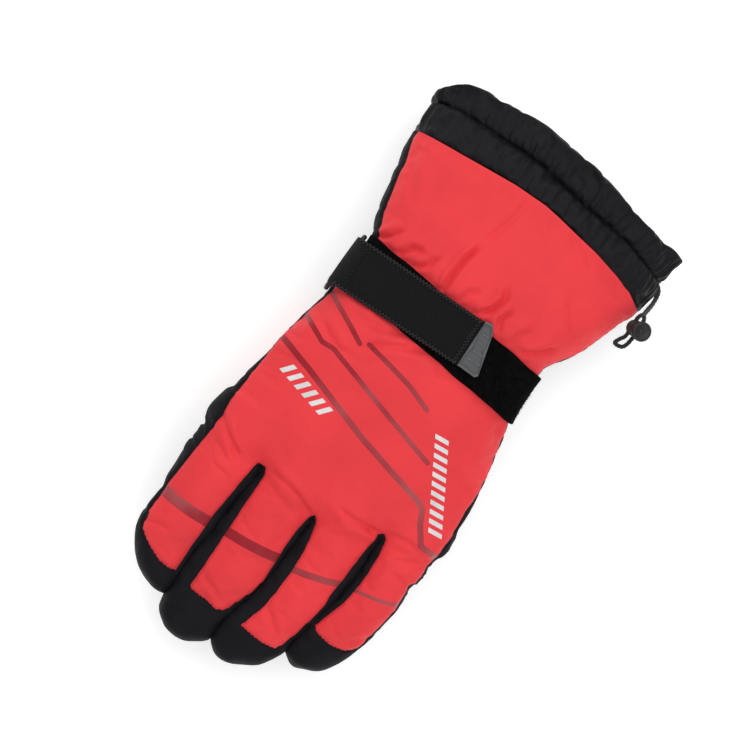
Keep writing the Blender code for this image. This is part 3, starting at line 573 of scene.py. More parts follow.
# The edge of the red back panel, seen from above: x, y.
RED_PANEL = (
    (-51.0, 60.0), (-53.6, 47.0), (-57.5, 36.0), (-61.0, 26.0), (-62.0, 16.0), (-62.3, 5.0),
    (-63.0, -5.0), (-64.0, -15.0), (-64.9, -25.0), (-64.0, -33.0), (-65.5, -45.0), (-67.0, -60.0),
    (-68.0, -75.0), (-68.4, -90.0), (-67.2, -95.0), (-68.6, -100.0), (-63.0, -104.0),
    (-57.0, -107.3), (-50.0, -110.0), (-44.5, -110.6), (-40.7, -109.6), (-40.2, -90.0),
    (-39.8, -75.0), (-38.0, -60.0), (-36.6, -46.0), (-35.8, -43.2), (-32.0, -43.0),
    (-31.0, -46.0), (-30.8, -75.0), (-31.2, -113.0), (-26.0, -113.4), (-20.0, -113.8),
    (-14.0, -115.0), (-9.8, -113.0), (-6.5, -105.0), (-4.0, -98.0), (-2.2, -90.0),
    (-1.7, -80.0), (-2.0, -70.0), (-1.2, -60.0), (0.0, -51.5), (1.4, -49.4), (3.0, -52.0),
    (5.0, -60.0), (6.4, -70.0), (6.5, -80.0), (6.0, -90.0), (5.0, -100.0), (2.6, -108.0),
    (0.6, -114.4), (5.0, -115.3), (14.0, -116.4), (20.0, -116.0), (22.0, -115.2),
    (24.2, -110.0), (27.0, -98.0), (29.0, -90.0), (29.8, -83.0), (29.4, -78.0),
    (30.9, -68.0), (31.5, -60.0), (32.4, -45.0), (32.6, -40.0), (34.4, -38.2), (36.3, -40.0),
    (37.4, -48.0), (38.0, -58.0), (37.2, -70.0), (36.0, -78.0), (33.0, -87.0),
    (30.8, -94.6), (34.0, -96.8), (42.0, -98.3), (50.0, -97.6), (53.8, -95.6), (56.0, -91.0),
    (57.4, -83.0), (60.2, -71.0), (60.2, -63.0), (58.7, -54.0), (60.8, -49.0), (62.2, -38.0),
    (62.9, -28.0), (63.2, -16.0), (63.0, -6.0), (62.6, 2.0), (66.0, 9.0), (66.0, 22.0),
    (63.0, 38.0), (60.0, 50.0), (58.0, 66.0), (61.0, 76.0), (66.0, 84.0), (72.0, 94.0),
    (77.0, 106.0), (80.5, 116.0), (84.0, 126.0), (86.0, 150.0), (-62.0, 160.0), (-61.2, 137.0),
    (-60.0, 129.0), (-58.0, 119.0), (-56.2, 110.0), (-54.3, 100.0), (-51.6, 91.0), (-48.0, 83.0),
    (-48.4, 74.0),
)

# Printed stripes: half width, then the line.
STRIPES = (
    (1.25, ((-53.0, 47.4), (-45.0, 43.0), (-35.0, 38.0), (-26.5, 33.2))),
    (1.25, ((-22.5, 35.4), (-10.0, 32.8), (5.0, 29.4), (18.5, 24.2))),
    (1.25, (
        (-57.5, 31.4), (-47.0, 26.2), (-42.5, 24.0), (-36.0, 24.2), (-20.0, 19.2), (0.0, 12.8),
        (20.0, 6.7), (33.0, 2.8),
    )),
    (1.5, (
        (-62.5, 16.2), (-50.0, 12.2), (-40.0, 9.2), (-20.0, 2.2), (0.0, -4.6), (20.0, -10.2),
        (40.0, -15.4), (43.4, -17.6), (46.4, -24.0), (52.6, -32.8), (63.5, -33.8),
    )),
    (2.9, ((-70.0, -78.6), (-60.0, -80.2), (-50.0, -80.6), (-39.0, -80.4))),
    (2.5, ((-32.0, -79.4), (-20.0, -78.8), (-10.0, -77.8), (-1.0, -76.4))),
    (1.7, ((6.0, -77.2), (14.0, -75.4), (24.0, -72.6), (32.0, -69.6))),
    (0.95, ((37.0, -69.0), (46.0, -67.4), (54.0, -65.6), (61.5, -62.6))),
)

# Folds: depth, width, flank height, then the line.
FOLDS = (
    (1.5, 1.5, 0.9, ((-64.5, -31.5), (-60.0, -36.0), (-53.0, -41.0), (-45.0, -46.0))),
    (1.0, 1.4, 0.8, ((-28.0, -42.5), (-20.0, -43.2), (-10.0, -46.0), (0.5, -50.5))),
    (1.2, 1.3, 0.7, ((33.5, -38.5), (26.0, -39.6), (18.0, -40.0), (8.0, -39.6))),
    (0.8, 1.5, 0.6, ((33.5, -39.0), (24.0, -41.6), (14.0, -42.8))),
    (1.0, 1.3, 0.6, ((34.5, -38.0), (40.0, -35.8), (47.0, -34.6), (55.0, -36.0), (63.0, -39.5))),
    (1.3, 1.6, 1.0, ((6.0, 50.0), (-4.0, 45.0), (-14.0, 40.4), (-20.5, 36.0), (-27.0, 30.0))),
    (0.8, 1.8, 0.9, ((-8.0, 49.0), (-20.0, 45.5), (-32.0, 43.5), (-42.0, 44.5))),
    (0.9, 1.6, 0.8, ((-50.0, 34.0), (-42.0, 29.0), (-34.0, 25.5), (-24.0, 26.0))),
    (0.5, 2.0, 0.4, ((46.0, 46.0), (52.0, 37.5), (58.0, 26.0))),
    (2.6, 1.15, 1.7, ((-7.4, 76.0), (-7.3, 86.0), (-6.2, 96.0), (-3.5, 106.0))),
    (0.9, 1.5, 0.6, ((-3.5, 106.0), (-1.0, 114.0), (2.0, 124.0), (5.0, 140.0))),
    (2.0, 1.3, 1.5, ((-48.0, 81.0), (-43.0, 86.0), (-39.0, 92.0))),
    (2.1, 1.3, 1.5, ((-36.0, 79.0), (-31.0, 86.5), (-24.0, 88.5))),
    (1.7, 1.2, 1.3, ((-26.0, 78.0), (-20.0, 84.0), (-17.0, 91.0))),
    (1.1, 1.3, 0.9, ((2.0, 77.0), (4.0, 83.0), (9.0, 87.0))),
    (2.2, 1.3, 1.6, ((12.0, 76.0), (18.5, 83.0), (20.5, 90.0), (18.0, 97.0))),
    (1.7, 1.2, 1.3, ((27.0, 74.0), (24.0, 81.0), (28.0, 88.0))),
    (1.9, 1.3, 1.4, ((41.0, 72.0), (49.0, 78.0), (56.0, 85.0))),
    (1.1, 1.5, 0.9, ((34.0, 72.0), (36.0, 80.0), (41.0, 85.0))),
    (0.7, 2.0, 0.5, ((60.0, 92.0), (52.0, 102.0), (46.0, 110.0))),
    (0.7, 2.0, 0.5, ((-55.0, 122.0), (-48.0, 114.0), (-44.0, 104.0))),
    (0.9, 1.3, 0.6, ((-69.0, -98.0), (-62.0, -95.0), (-54.0, -94.0))),
    (0.8, 1.5, 0.5, ((-30.0, -104.0), (-22.0, -106.0), (-14.0, -110.0))),
    (0.8, 1.6, 0.5, ((5.0, -98.0), (12.0, -104.0), (20.0, -110.0))),
    (0.9, 1.4, 0.7, ((61.5, -53.5), (54.0, -52.0), (47.0, -52.5))),
    (0.8, 1.4, 0.5, ((60.0, -84.0), (54.0, -88.0), (49.0, -92.0))),
    (0.6, 1.6, 0.5, ((44.0, -54.0), (38.0, -60.0))),
)

WAVES = [
    (rng.normal(size=3) * pace, rng.uniform(0, 6.28), height)
    for pace, height, count in ((0.10, 0.16, 14), (0.25, 0.07, 16)) for _ in range(count)
]


def polyline_distance(x, y, line):
    """Distance to a polyline, the signed side of it, and the share of its length at the foot."""
    line = np.array(line, float)
    best = np.full(x.shape, 1e9)
    side, share = np.zeros(x.shape), np.zeros(x.shape)
    lengths = np.linalg.norm(np.diff(line, axis=0), axis=1)
    run, total = 0.0, lengths.sum()
    for (x0, y0), (x1, y1), length in zip(line[:-1], line[1:], lengths):
        ux, uy = (x1 - x0) / length, (y1 - y0) / length
        t = np.clip((x - x0) * ux + (y - y0) * uy, 0.0, length)
        dx, dy = x - x0 - ux * t, y - y0 - uy * t
        distance = np.hypot(dx, dy)
        closer = distance < best
        best = np.where(closer, distance, best)
        side = np.where(closer, np.sign(ux * dy - uy * dx), side)
        share = np.where(closer, (run + t) / total, share)
        run += length
    return best, side, share


def polygon_distance(x, y, ring):
    """Signed distance to a closed polygon, positive inside."""
    closed = ring + ring[:1]
    inside = np.zeros(x.shape, bool)
    for (x0, y0), (x1, y1) in zip(closed, closed[1:]):
        if y0 != y1:
            inside ^= ((y0 > y) != (y1 > y)) & (x < (x1 - x0) * (y - y0) / (y1 - y0) + x0)
    return np.where(inside, 1.0, -1.0) * polyline_distance(x, y, closed)[0]


def fold_relief(x, y):
    """Sharp creases, each with a soft bank beside it."""
    relief = np.zeros(x.shape)
    for depth, width, flank, line in FOLDS:
        distance, side, share = polyline_distance(x, y, line)
        ends = np.clip(np.minimum(share, 1 - share) * 5.0, 0.0, 1.0) ** 0.7
        crease = np.exp(-((distance / width) ** 2))
        bank = np.exp(-(((distance - 2.4 * width) / (1.7 * width)) ** 2)) * np.where(side > 0, 1.0, 0.45)
        relief += ends * (flank * bank - depth * crease)
    return relief


def drift(points):
    """Slow random rise and fall of soft fabric."""
    return sum(height * np.sin(points @ direction + phase) for direction, phase, height in WAVES)


def stripe_field(x, y):
    """Positive on the printed stripes."""
    return np.max([half - polyline_distance(x, y, line)[0] for half, line in STRIPES], axis=0)


def middle_height(y, label, drop):
    """Height of the middle of the hand or finger, less a share of its half thickness."""
    y_hand = np.maximum(y, -40.0)
    hand = HAND_MIDDLE(y_hand) - drop * HAND_HALF(y_hand)
    height = hand
    for index, name in enumerate(FINGERS):
        middle, half = finger_height(name, y)
        finger = hand + (middle - drop * half - hand) * np.clip((-38.0 - y) / 14.0, 0.0, 1.0)
        height = np.where(label == index, finger, height)
    return height


def red_field(points, label):
    """Positive on the red back panel, negative on the black side and palm panels."""
    x, y, z = points.T
    return np.minimum(polygon_distance(x, y, RED_PANEL), (z - middle_height(y, label, 0.06)) * 0.9)


def leather_field(points, label):
    """Positive on the leather of the palm and of the fingers' inner sides."""
    x, y, z = points.T
    return np.minimum(middle_height(y, label, 0.52) - z, 86.0 - y)


# ---------------------------------------------------------------- the sewn shell

BASE_TIP_CUT = {"index": -69.0, "middle": -76.5, "ring": -76.0, "little": -64.0}
# Where the fabric bends at each joint: y from and to.
KNUCKLE_ZONE = {
    "index": (-47.0, -63.0), "middle": (-54.0, -70.0), "ring": (-54.0, -70.0), "little": (-43.0, -59.0),
}
MIDDLE_ZONE = {
    "index": (-75.0, -95.0), "middle": (-84.0, -104.0), "ring": (-83.0, -103.0), "little": (-69.0, -87.0),
}
WRIST_ZONE = (75.0, 95.0)
STRAP_Y = 61.5
# Where the shell ends at the hem band: x, y.
MOUTH_LINE = (
    (-75.0, 136.6), (-61.5, 137.0), (-35.0, 138.2), (-5.0, 140.0), (12.0, 139.6), (20.0, 138.4),
    (33.0, 136.0), (45.0, 134.0), (60.0, 130.2), (70.0, 127.0), (78.5, 122.2), (90.0, 119.0),
)
# The cuff is shorter on its palm side: by this slope, below this height.
PALM_LEAN = 0.45
MOUTH_MIDDLE = 7.8
EVENING_ROUNDS = 120
# Seams: field, where it is cut, depth and width of the groove.
SHELL_SEAMS = (("seam", (0.0, 0.55, -0.55, 1.3, -1.3), 0.75, 0.85), ("leather", (0.0, 0.7, -0.7), 0.6, 0.9))


def palm_lean(z, middle):
    """How much shorter the cuff is at a height below its middle."""
    rise = z - middle
    return PALM_LEAN * (np.sqrt(rise * rise + 30.0) - rise) / 2


def mouth_y(x, z):
    """Where the shell ends at the hem band: its mouth leans back on the palm side."""
    return np.interp(x, *np.transpose(MOUTH_LINE)) - palm_lean(z, MOUTH_MIDDLE)


def strap_middle(x):
    """The middle line of the tape round the wrist."""
    return STRAP_Y - 0.125 * np.clip(x, -60.0, 60.0)


def shell_pins(points):
    """How firmly each point of the shell is held in the cloth simulation."""
    x, label = slits_closed_up(points[:, 0], points[:, 1])
    y, z = points[:, 1], points[:, 2]
    seam = np.abs(red_field(np.stack([x, y, z], 1), label))
    held = np.abs(y - strap_middle(x)) < 14.5
    held |= y > mouth_y(x, z) - 3.0
    held |= (z < 4.0) & (y > -40.0) & (y < 45.0) & (np.abs(x) < 40.0)
    return np.where(held, 1.0, np.where(seam < 1.4, 0.75, 0.0))


def evened(field, points, triangles, normals):
    """A seam's field smoothed on the outer sides, where a small change across moves it far in height."""
    x, y = points[:, 0], points[:, 1]
    left = np.where(y < -40.0, finger_edges("index", y)[0], HAND_LEFT(y))
    right = np.where(y < -40.0, finger_edges("little", y)[1], HAND_RIGHT(y))
    inside = np.minimum(x - left, right - x)
    steep = np.clip(1.5 - 2.0 * np.abs(normals[:, 2]), 0.0, 1.0) * np.clip((7.0 - inside) / 4.0, 0.0, 1.0)
    one, two = triangles[:, [0, 1, 1, 2, 2, 0]].reshape(-1, 2).T
    count = len(points)
    degree = np.bincount(one, minlength=count) + np.bincount(two, minlength=count)
    for _ in range(EVENING_ROUNDS):
        total = np.bincount(one, field[two], count) + np.bincount(two, field[one], count)
        field = field + steep * 0.8 * (total / degree - field)
    return field


def make_shell():
    """The closed shell as a sheet with the fields that cut it into panels."""
    points, quads = build_shell()
    points = inflate(points, quads, shell_pins(points), 1.8)
    points, quads = subdivided(points, quads)
    points[:, 0], label = slits_closed_up(points[:, 0], points[:, 1])
    triangles = triangles_of(points, quads)
    normals = vertex_normals(points, triangles)
    x, y, z = points.T
    open_cloth = 1 - np.clip((15.5 - np.abs(y - strap_middle(x))) / 4.0, 0.0, 1.0)
    facing = np.clip(normals[:, 2] * 1.6, 0.0, 1.0)
    relief = (drift(points) + fold_relief(x, y) * facing) * open_cloth
    scallop = 0.22 * np.sin(x * 2 * math.pi / 2.3) * (y < -90.0)
    sheet = {"triangles": triangles, "normals": normals, "finger": label.astype(float)}
    sheet["seam"] = evened(red_field(points, label), points, triangles, normals) + scallop
    sheet["leather"] = evened(leather_field(points, label), points, triangles, normals)
    sheet["points"] = points + normals * relief[:, None]
    x, y, z = sheet["points"].T
    sheet["mouth"] = mouth_y(x, z) - y
    sheet = sewn(split(sheet, "mouth")[0], SHELL_SEAMS)
    x, y, z = sheet["points"].T
    sheet["stripe"] = stripe_field(x, y)
    sheet["root"] = np.full(x.shape, 50.0)
    for (x0, y0), (x1, y1) in CUT_LINES.values():
        beyond = y - (y0 + (y1 - y0) * (x - x0) / (x1 - x0))
        sheet["root"] = np.where((x >= x0) & (x < x1), beyond, sheet["root"])
    return sheet


def blend(made, first, second, zone):
    """A piece with its place baked into its points. The two bodies and the y span are not used."""
    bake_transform(made)


def place_panels(sheet):
    """Cuts the shell into its sewn panels and hides the CAD parts that they cover."""
    hand, fingers = split(sheet, "root")
    back, side, palm = sewn_panels("", hand, "palm_leather_panel")
    for panel in (back, side, palm):
        blend(panel, "hand", "cuff", WRIST_ZONE)
    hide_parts("hand_back_panel", "cuff_back_panel", "waterproof_membrane", "hand_insulation")
    webs = [f"web_gusset_{one}_{two}" for one, two in zip(FINGERS, FINGERS[1:])]
    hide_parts("cuff_palm_panel", *webs)
    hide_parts("palm_panel", "wrist_elastic", "hand_lining")
    label = np.round(fingers["finger"][fingers["triangles"]].mean(1))
    for index, name in enumerate(FINGERS):
        finger = part_of(fingers, label == index)
        finger["level"] = finger["points"][:, 1] - BASE_TIP_CUT[name]
        base, tip = split(finger, "level")
        for part, sheet_part, zone, bodies, cover in (
            ("base", base, KNUCKLE_ZONE[name], ("hand", f"{name}_base"), "base_sleeve"),
            ("tip", tip, MIDDLE_ZONE[name], (f"{name}_base", f"{name}_tip"), "cap"),
        ):
            start = f"{name}_{part}_"
            pieces = sewn_panels(start, sheet_part)
            for piece in pieces:
                blend(piece, *bodies, zone)
            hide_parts(start + "back")
            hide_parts(f"{name}_{cover}", start + "liner")
    return back


# ---------------------------------------------------------------- materials

class Look:
    """A material's node tree, with short ways to add to it. A noise's or cells' scale is per metre."""

    def __init__(self, name, rough, sheen=0.0, specular=0.35):
        self.material = bpy.data.materials.new(name)
        self.material.use_nodes = True
        self.tree = self.material.node_tree
        self.shader = self.tree.nodes["Principled BSDF"]
        self.default("Roughness", rough)
        self.default("Sheen Weight", sheen)
        self.default("Sheen Roughness", 0.4)
        self.default("Specular IOR Level", specular)
        self.place = self.node("TexCoord").outputs["Object"]

    def default(self, name, value):
        self.shader.inputs[name].default_value = value

    def set(self, name, value):
        self.tree.links.new(value, self.shader.inputs[name])

    def node(self, kind, settings=None, inputs=None):
        made = self.tree.nodes.new("ShaderNode" + kind)
        for key, value in (settings or {}).items():
            setattr(made, key, value)
        for key, value in (inputs or {}).items():
            if isinstance(value, bpy.types.NodeSocket):
                self.tree.links.new(value, made.inputs[key])
            else:
                made.inputs[key].default_value = value
        return made

    def math(self, operation, a, b=0.0):
        return self.node("Math", {"operation": operation}, {0: a, 1: b}).outputs[0]

    def wave(self, value, pitch):
        return self.math("SINE", self.math("MULTIPLY", value, 2 * math.pi / pitch))

    def ramp(self, value, low, high, to_low=0.0, to_high=1.0):
        inputs = {"Value": value, "From Min": low, "From Max": high, "To Min": to_low, "To Max": to_high}
        return self.node("MapRange", {"clamp": True}, inputs).outputs[0]

    def noise(self, scale, detail=3.0, rough=0.5):
        inputs = {"Vector": self.place, "Scale": scale, "Detail": detail, "Roughness": rough}
        return self.node("TexNoise", None, inputs).outputs["Fac"]

    def cells(self, scale, feature="F1"):
        inputs = {"Vector": self.place, "Scale": scale}
        return self.node("TexVoronoi", {"feature": feature}, inputs).outputs["Distance"]

    def parts(self, vector):
        return self.node("SeparateXYZ", None, {0: vector}).outputs

    def map_parts(self):
        """The piece's own map, in millimetres along and across."""
        return self.parts(self.node("UVMap", {"uv_map": "mm"}).outputs[0])

    def field(self, name):
        return self.node("Attribute", {"attribute_name": name}).outputs["Fac"]

    def mix(self, factor, a, b):
        colours = [c if isinstance(c, bpy.types.NodeSocket) else (*c, 1.0) for c in (a, b)]
        made = self.node("Mix", {"data_type": "RGBA"}, {0: factor, 6: colours[0], 7: colours[1]})
        return made.outputs[2]

    def bump(self, height, distance, strength=1.0, normal=None):
        inputs = {"Height": height, "Distance": distance * MM, "Strength": strength}
        if normal:
            inputs["Normal"] = normal
        return self.node("Bump", None, inputs).outputs[0]

    def weave(self, pitch, turn=0.0):
        """Crossing threads with a pitch in millimetres, seen from the top and from the sides."""
        inputs = {"Vector": self.place, "Rotation": (0, 0, math.radians(turn))}
        turned = self.node("Mapping", None, inputs).outputs[0]
        waves = [self.wave(part, pitch * MM) for part in self.parts(turned)]
        top = self.math("MULTIPLY", waves[0], waves[1])
        side = self.math("MULTIPLY", waves[1], waves[2])
        normal = self.node("NewGeometry").outputs["Normal"]
        share = self.ramp(self.math("ABSOLUTE", self.parts(normal)[2]), 0.4, 0.7)
        rest = self.math("MULTIPLY", side, self.math("SUBTRACT", 1.0, share))
        return self.math("ADD", self.math("MULTIPLY", top, share), rest)

    def tint(self, value, low, high, dark, light, rough=None):
        """Colour, and roughness if it is given, that follow a value between low and high."""
        self.set("Base Color", self.mix(self.ramp(value, low, high), dark, light))
        if rough:
            self.set("Roughness", self.ramp(value, low, high, *rough))

    def finish(self, height, distance, strength=1.0, normal=None):
        self.set("Normal", self.bump(height, distance, strength, normal))
        return self.material


def red_look():
    """Laminated polyester softshell with satin printed stripes."""
    look = Look("red_softshell", 0.58, sheen=0.03, specular=0.13)
    cloud = look.ramp(look.noise(34.0), 0.35, 0.65)
    colour = look.mix(cloud, (0.73625, 0.0437, 0.05225), (0.81375, 0.0483, 0.05775))
    # Painted shade: within 1.6 mm of the sunk seams the red is mixed up to 16 % towards a darker red.
    seam_shade_and_rubbed_edge = look.ramp(look.field("seam"), 0.0, 1.6, 0.16, 0.0)
    colour = look.mix(seam_shade_and_rubbed_edge, colour, (0.42, 0.020, 0.026))
    stripe = look.ramp(look.field("stripe"), -0.12, 0.12)
    grid = [look.wave(part, 0.95 * MM) for part in look.parts(look.place)[:2]]
    dots = look.ramp(look.math("MULTIPLY", *grid), -0.2, 0.5)
    shine = look.ramp(look.noise(23.0, 2.0), 0.42, 0.62)
    print_dark = look.mix(dots, (0.27, 0.014, 0.022), (0.38, 0.024, 0.034))
    print_light = look.mix(dots, (0.36, 0.050, 0.060), (0.46, 0.110, 0.115))
    look.set("Base Color", look.mix(stripe, colour, look.mix(shine, print_dark, print_light)))
    look.set("Roughness", look.ramp(stripe, 0.0, 1.0, 0.58, 0.36))
    weave = look.bump(look.weave(0.8, 8.0), 0.035, 0.6)
    wrinkle = look.bump(look.noise(150.0, 4.0), 0.30, 0.5, weave)
    return look.finish(stripe, 0.08, 0.5, wrinkle)


def softshell_look():
    """Matte black stretch softshell of the sides and the fingertips."""
    look = Look("black_softshell", 0.62, specular=0.09)
    dark, light = (0.0058, 0.0056, 0.0075), (0.0105, 0.0102, 0.0130)
    look.tint(look.noise(60.0, 4.0), 0.3, 0.7, dark, light, (0.58, 0.74))
    return look.finish(look.noise(190.0, 4.0), 0.32, 0.55, look.bump(look.weave(0.9, 45.0), 0.05, 0.7))


def leather_look():
    """Grained synthetic leather of the palm."""
    look = Look("palm_leather_grain", 0.5, specular=0.16)
    look.tint(look.noise(45.0, 4.0), 0.40, 0.70, (0.010, 0.010, 0.011), (0.022, 0.021, 0.021), (0.44, 0.62))
    grain = look.bump(look.ramp(look.cells(900.0, "DISTANCE_TO_EDGE"), 0.0, 0.10), 0.14, 0.6)
    return look.finish(look.noise(220.0), 0.35, 0.5, grain)


def patch_look():
    """Leather of the palm patch: coarser grain, more rubbed than the rest."""
    look = Look("patch_leather_grain", 0.52, specular=0.2)
    look.tint(look.noise(60.0, 5.0), 0.38, 0.68, (0.012, 0.012, 0.013), (0.034, 0.032, 0.031), (0.42, 0.64))
    return look.finish(look.ramp(look.cells(520.0, "DISTANCE_TO_EDGE"), 0.0, 0.12), 0.22, 0.7)


def nylon_look():
    """Crinkled black nylon of the hem."""
    look = Look("black_nylon", 0.42, specular=0.14)
    dark, light = (0.0040, 0.0040, 0.0052), (0.0080, 0.0078, 0.0098)
    look.tint(look.noise(40.0, 4.0), 0.3, 0.7, dark, light, (0.40, 0.60))
    crinkle = look.bump(look.noise(150.0, 6.0, 0.65), 1.3, 0.7, look.bump(look.weave(0.7), 0.03, 0.5))
    return look.finish(look.ramp(look.cells(75.0, "DISTANCE_TO_EDGE"), 0.0, 0.18), 0.5, 0.5, crinkle)


def fleece_look():
    """Brushed fleece lining."""
    look = Look("fleece_lining", 0.95, sheen=0.25)
    tufts = look.noise(420.0, 5.0)
    look.tint(tufts, 0.35, 0.65, (0.012, 0.012, 0.014), (0.045, 0.045, 0.050))
    return look.finish(tufts, 0.8, 0.9)


def webbing_look():
    """Black webbing woven in a diagonal twill."""
    look = Look("twill_webbing", 0.5, specular=0.12)
    along, across, _ = look.map_parts()
    rib = look.wave(look.math("ADD", along, look.math("MULTIPLY", across, 0.62)), 1.2)
    height = look.math("MULTIPLY", look.math("ADD", rib, look.wave(across, 0.72)), 0.7)
    look.tint(height, -1.3, 1.3, (0.0005, 0.0005, 0.0007), (0.0150, 0.0142, 0.0160), (0.75, 0.45))
    return look.finish(look.ramp(height, -1.3, 1.3), 0.45)


def pile_look():
    """Loop tape: a dense fuzzy pile."""
    look = Look("loop_pile", 0.95, sheen=0.012, specular=0.03)
    height = look.math("ADD", look.cells(1300.0), look.math("MULTIPLY", look.noise(260.0, 4.0), 1.2))
    look.tint(height, 0.5, 1.5, (0.0008, 0.0008, 0.0010), (0.0050, 0.0048, 0.0055))
    return look.finish(height, 0.45)


def hook_look():
    """Hook tape: rows of small moulded hooks."""
    look = Look("hook_rows", 0.42)
    waves = [look.wave(part, 0.9) for part in look.map_parts()[:2]]
    height = look.ramp(look.math("MULTIPLY", *waves), 0.0, 0.8)
    look.tint(height, 0.0, 1.0, (0.006, 0.006, 0.006), (0.030, 0.030, 0.031))
    return look.finish(height, 0.5)


def rubber_look():
    """Grey moulded rubber with a fine stipple and rubbed edges."""
    look = Look("grey_rubber", 0.52)
    cloud = look.noise(90.0, 4.0)
    seam_shade_and_rubbed_edge = look.ramp(look.node("NewGeometry").outputs["Pointiness"], 0.52, 0.60, 0.0, 0.5)
    colour = look.mix(look.ramp(cloud, 0.3, 0.7), (0.062, 0.066, 0.070), (0.088, 0.092, 0.097))
    look.set("Base Color", look.mix(seam_shade_and_rubbed_edge, colour, (0.20, 0.205, 0.21)))
    look.set("Roughness", look.ramp(cloud, 0.3, 0.7, 0.44, 0.60))
    return look.finish(look.cells(1500.0), 0.08, 0.7)


def plastic_look():
    """Satin black moulded plastic with a faint spark texture."""
    look = Look("black_plastic", 0.38)
    cloud = look.noise(120.0)
    look.tint(cloud, 0.3, 0.7, (0.0085, 0.0085, 0.009), (0.014, 0.014, 0.0148))
    look.set("Roughness", look.ramp(cloud, 0.35, 0.65, 0.30, 0.46))
    return look.finish(look.noise(1400.0), 0.05, 0.7)


def cord_look():
    """Braided elastic cord."""
    look = Look("braided_elastic", 0.7, sheen=0.2)
    x, y, z = look.parts(look.place)
    crossing = look.math("ADD", x, y), look.math("SUBTRACT", y, z)
    height = look.math("MAXIMUM", *[look.wave(way, 1.1 * MM) for way in crossing])
    look.tint(height, -0.5, 1.0, (0.005, 0.005, 0.005), (0.018, 0.018, 0.019))
    return look.finish(height, 0.25, 0.9)


def thread_look():
    """Twisted black polyester thread."""
    look = Look("sewing_thread", 0.45, specular=0.2)
    strand = look.noise(2600.0, 2.0)
    look.tint(strand, 0.35, 0.65, (0.012, 0.012, 0.013), (0.042, 0.041, 0.044))
    return look.finish(strand, 0.12, 0.8)


def print_look():
    """Silver-white printed ink, slightly crazed by the fabric under it."""
    look = Look("white_print", 0.42)
    look.tint(look.noise(70.0, 4.0), 0.3, 0.7, (0.60, 0.58, 0.58), (0.78, 0.77, 0.77), (0.36, 0.52))
    return look.finish(look.weave(0.95), 0.06, 0.7)


def floor_look():
    """Plain pale studio floor with a faint mottle."""
    look = Look("pale_floor", 0.9)
    look.set("Base Color", look.mix(look.noise(2.0), (0.93, 0.93, 0.93), (0.95, 0.95, 0.95)))
    look.default("Emission Color", (1.0, 1.0, 1.0, 1.0))
    look.default("Emission Strength", 0.38)
    return look.material


LOOKS = {
    "red": red_look(), "softshell": softshell_look(), "leather": leather_look(), "nylon": nylon_look(),
    "fleece": fleece_look(), "webbing": webbing_look(), "pile": pile_look(), "hooks": hook_look(),
    "rubber": rubber_look(), "plastic": plastic_look(), "cord": cord_look(), "thread": thread_look(),
    "print": print_look(), "patch": patch_look(), "floor": floor_look(),
}


# ---------------------------------------------------------------- studio

FRAME_CENTRE = (-0.0120, 0.0246)
FRAME_WIDTH = 0.36675
CAMERA_UP = (-0.5505, 0.8348, 0.0)
CAMERA_HEIGHT = 2.2
BACK_HEIGHT = 0.03
SENSOR = 36.0


def stage_floor():
    """A plain pale floor under the glove."""
    bpy.ops.mesh.primitive_plane_add(size=6.0, location=(0, 0, CAD_LOW[2] - 0.001))
    floor = bpy.context.active_object
    floor.name = "pale_floor"
    floor.data.materials.append(LOOKS["floor"])


def light(name, place, size, power):
    """A soft round light that faces the glove."""
    data = bpy.data.lights.new(name, "AREA")
    data.shape = "DISK"
    data.size = size
    data.energy = power
    made = bpy.data.objects.new(name, data)
    made.location = place
    made.rotation_euler = (-Vector(place)).to_track_quat("-Z", "Y").to_euler()
    bpy.context.scene.collection.objects.link(made)


def studio():
    """Soft light from all round and a camera straight above the back of the hand."""
    scene = bpy.context.scene
    scene.world = bpy.data.worlds.new("white_studio")
    scene.world.use_nodes = True
    background = scene.world.node_tree.nodes["Background"]
    background.inputs["Color"].default_value = (1.0, 1.0, 1.0, 1.0)
    background.inputs["Strength"].default_value = 0.50
    light("soft_above", (0.25, 0.35, 1.3), 1.4, 7.0)
    light("soft_cuff_side", (-0.75, 0.95, 0.9), 0.9, 6.0)
    light("soft_finger_side", (0.6, -0.9, 0.8), 0.9, 3.6)
    stage_floor()
    camera = bpy.data.objects.new("camera", bpy.data.cameras.new("camera"))
    camera.data.sensor_width = SENSOR
    camera.data.lens = SENSOR * (CAMERA_HEIGHT - BACK_HEIGHT) / FRAME_WIDTH
    camera.data.clip_end = 20.0
    up, back = Vector(CAMERA_UP).normalized(), Vector((0, 0, 1))
    matrix = Matrix((up.cross(back), up, back)).transposed().to_4x4()
    matrix.translation = Vector((*FRAME_CENTRE, CAMERA_HEIGHT))
    camera.matrix_world = matrix
    scene.collection.objects.link(camera)
    scene.camera = camera
    scene.view_settings.view_transform = "Standard"


# ---------------------------------------------------------------- rings of fabric and the hem

def outline(angle, y, lift=0.0):
    """A point on the section of the glove at station y. Angle 0 is +X and 90 degrees is the back."""
    across, up = np.cos(angle), np.sin(angle)
    power = 2.67 - 0.33 * np.tanh(up * 4.0)
    reach = (np.abs(across) ** power + np.abs(up) ** power) ** (-1 / power)
    left, right = HAND_LEFT(y), HAND_RIGHT(y)
    x = (left + right) / 2 + ((right - left) / 2 + lift) * reach * across
    z = HAND_MIDDLE(y) + (HAND_HALF(y) + lift) * reach * up
    return x, z


def away_from(angle, y, lift):
    """Points of a row round the glove, at a distance from its outline."""
    near = np.stack(outline(angle, y), 1)
    away = unit(np.stack(outline(angle, y, 1.0), 1) - near)
    spot = near + away * np.broadcast_to(lift, angle.shape)[:, None]
    return np.stack([spot[:, 0], y, spot[:, 1]], 1)


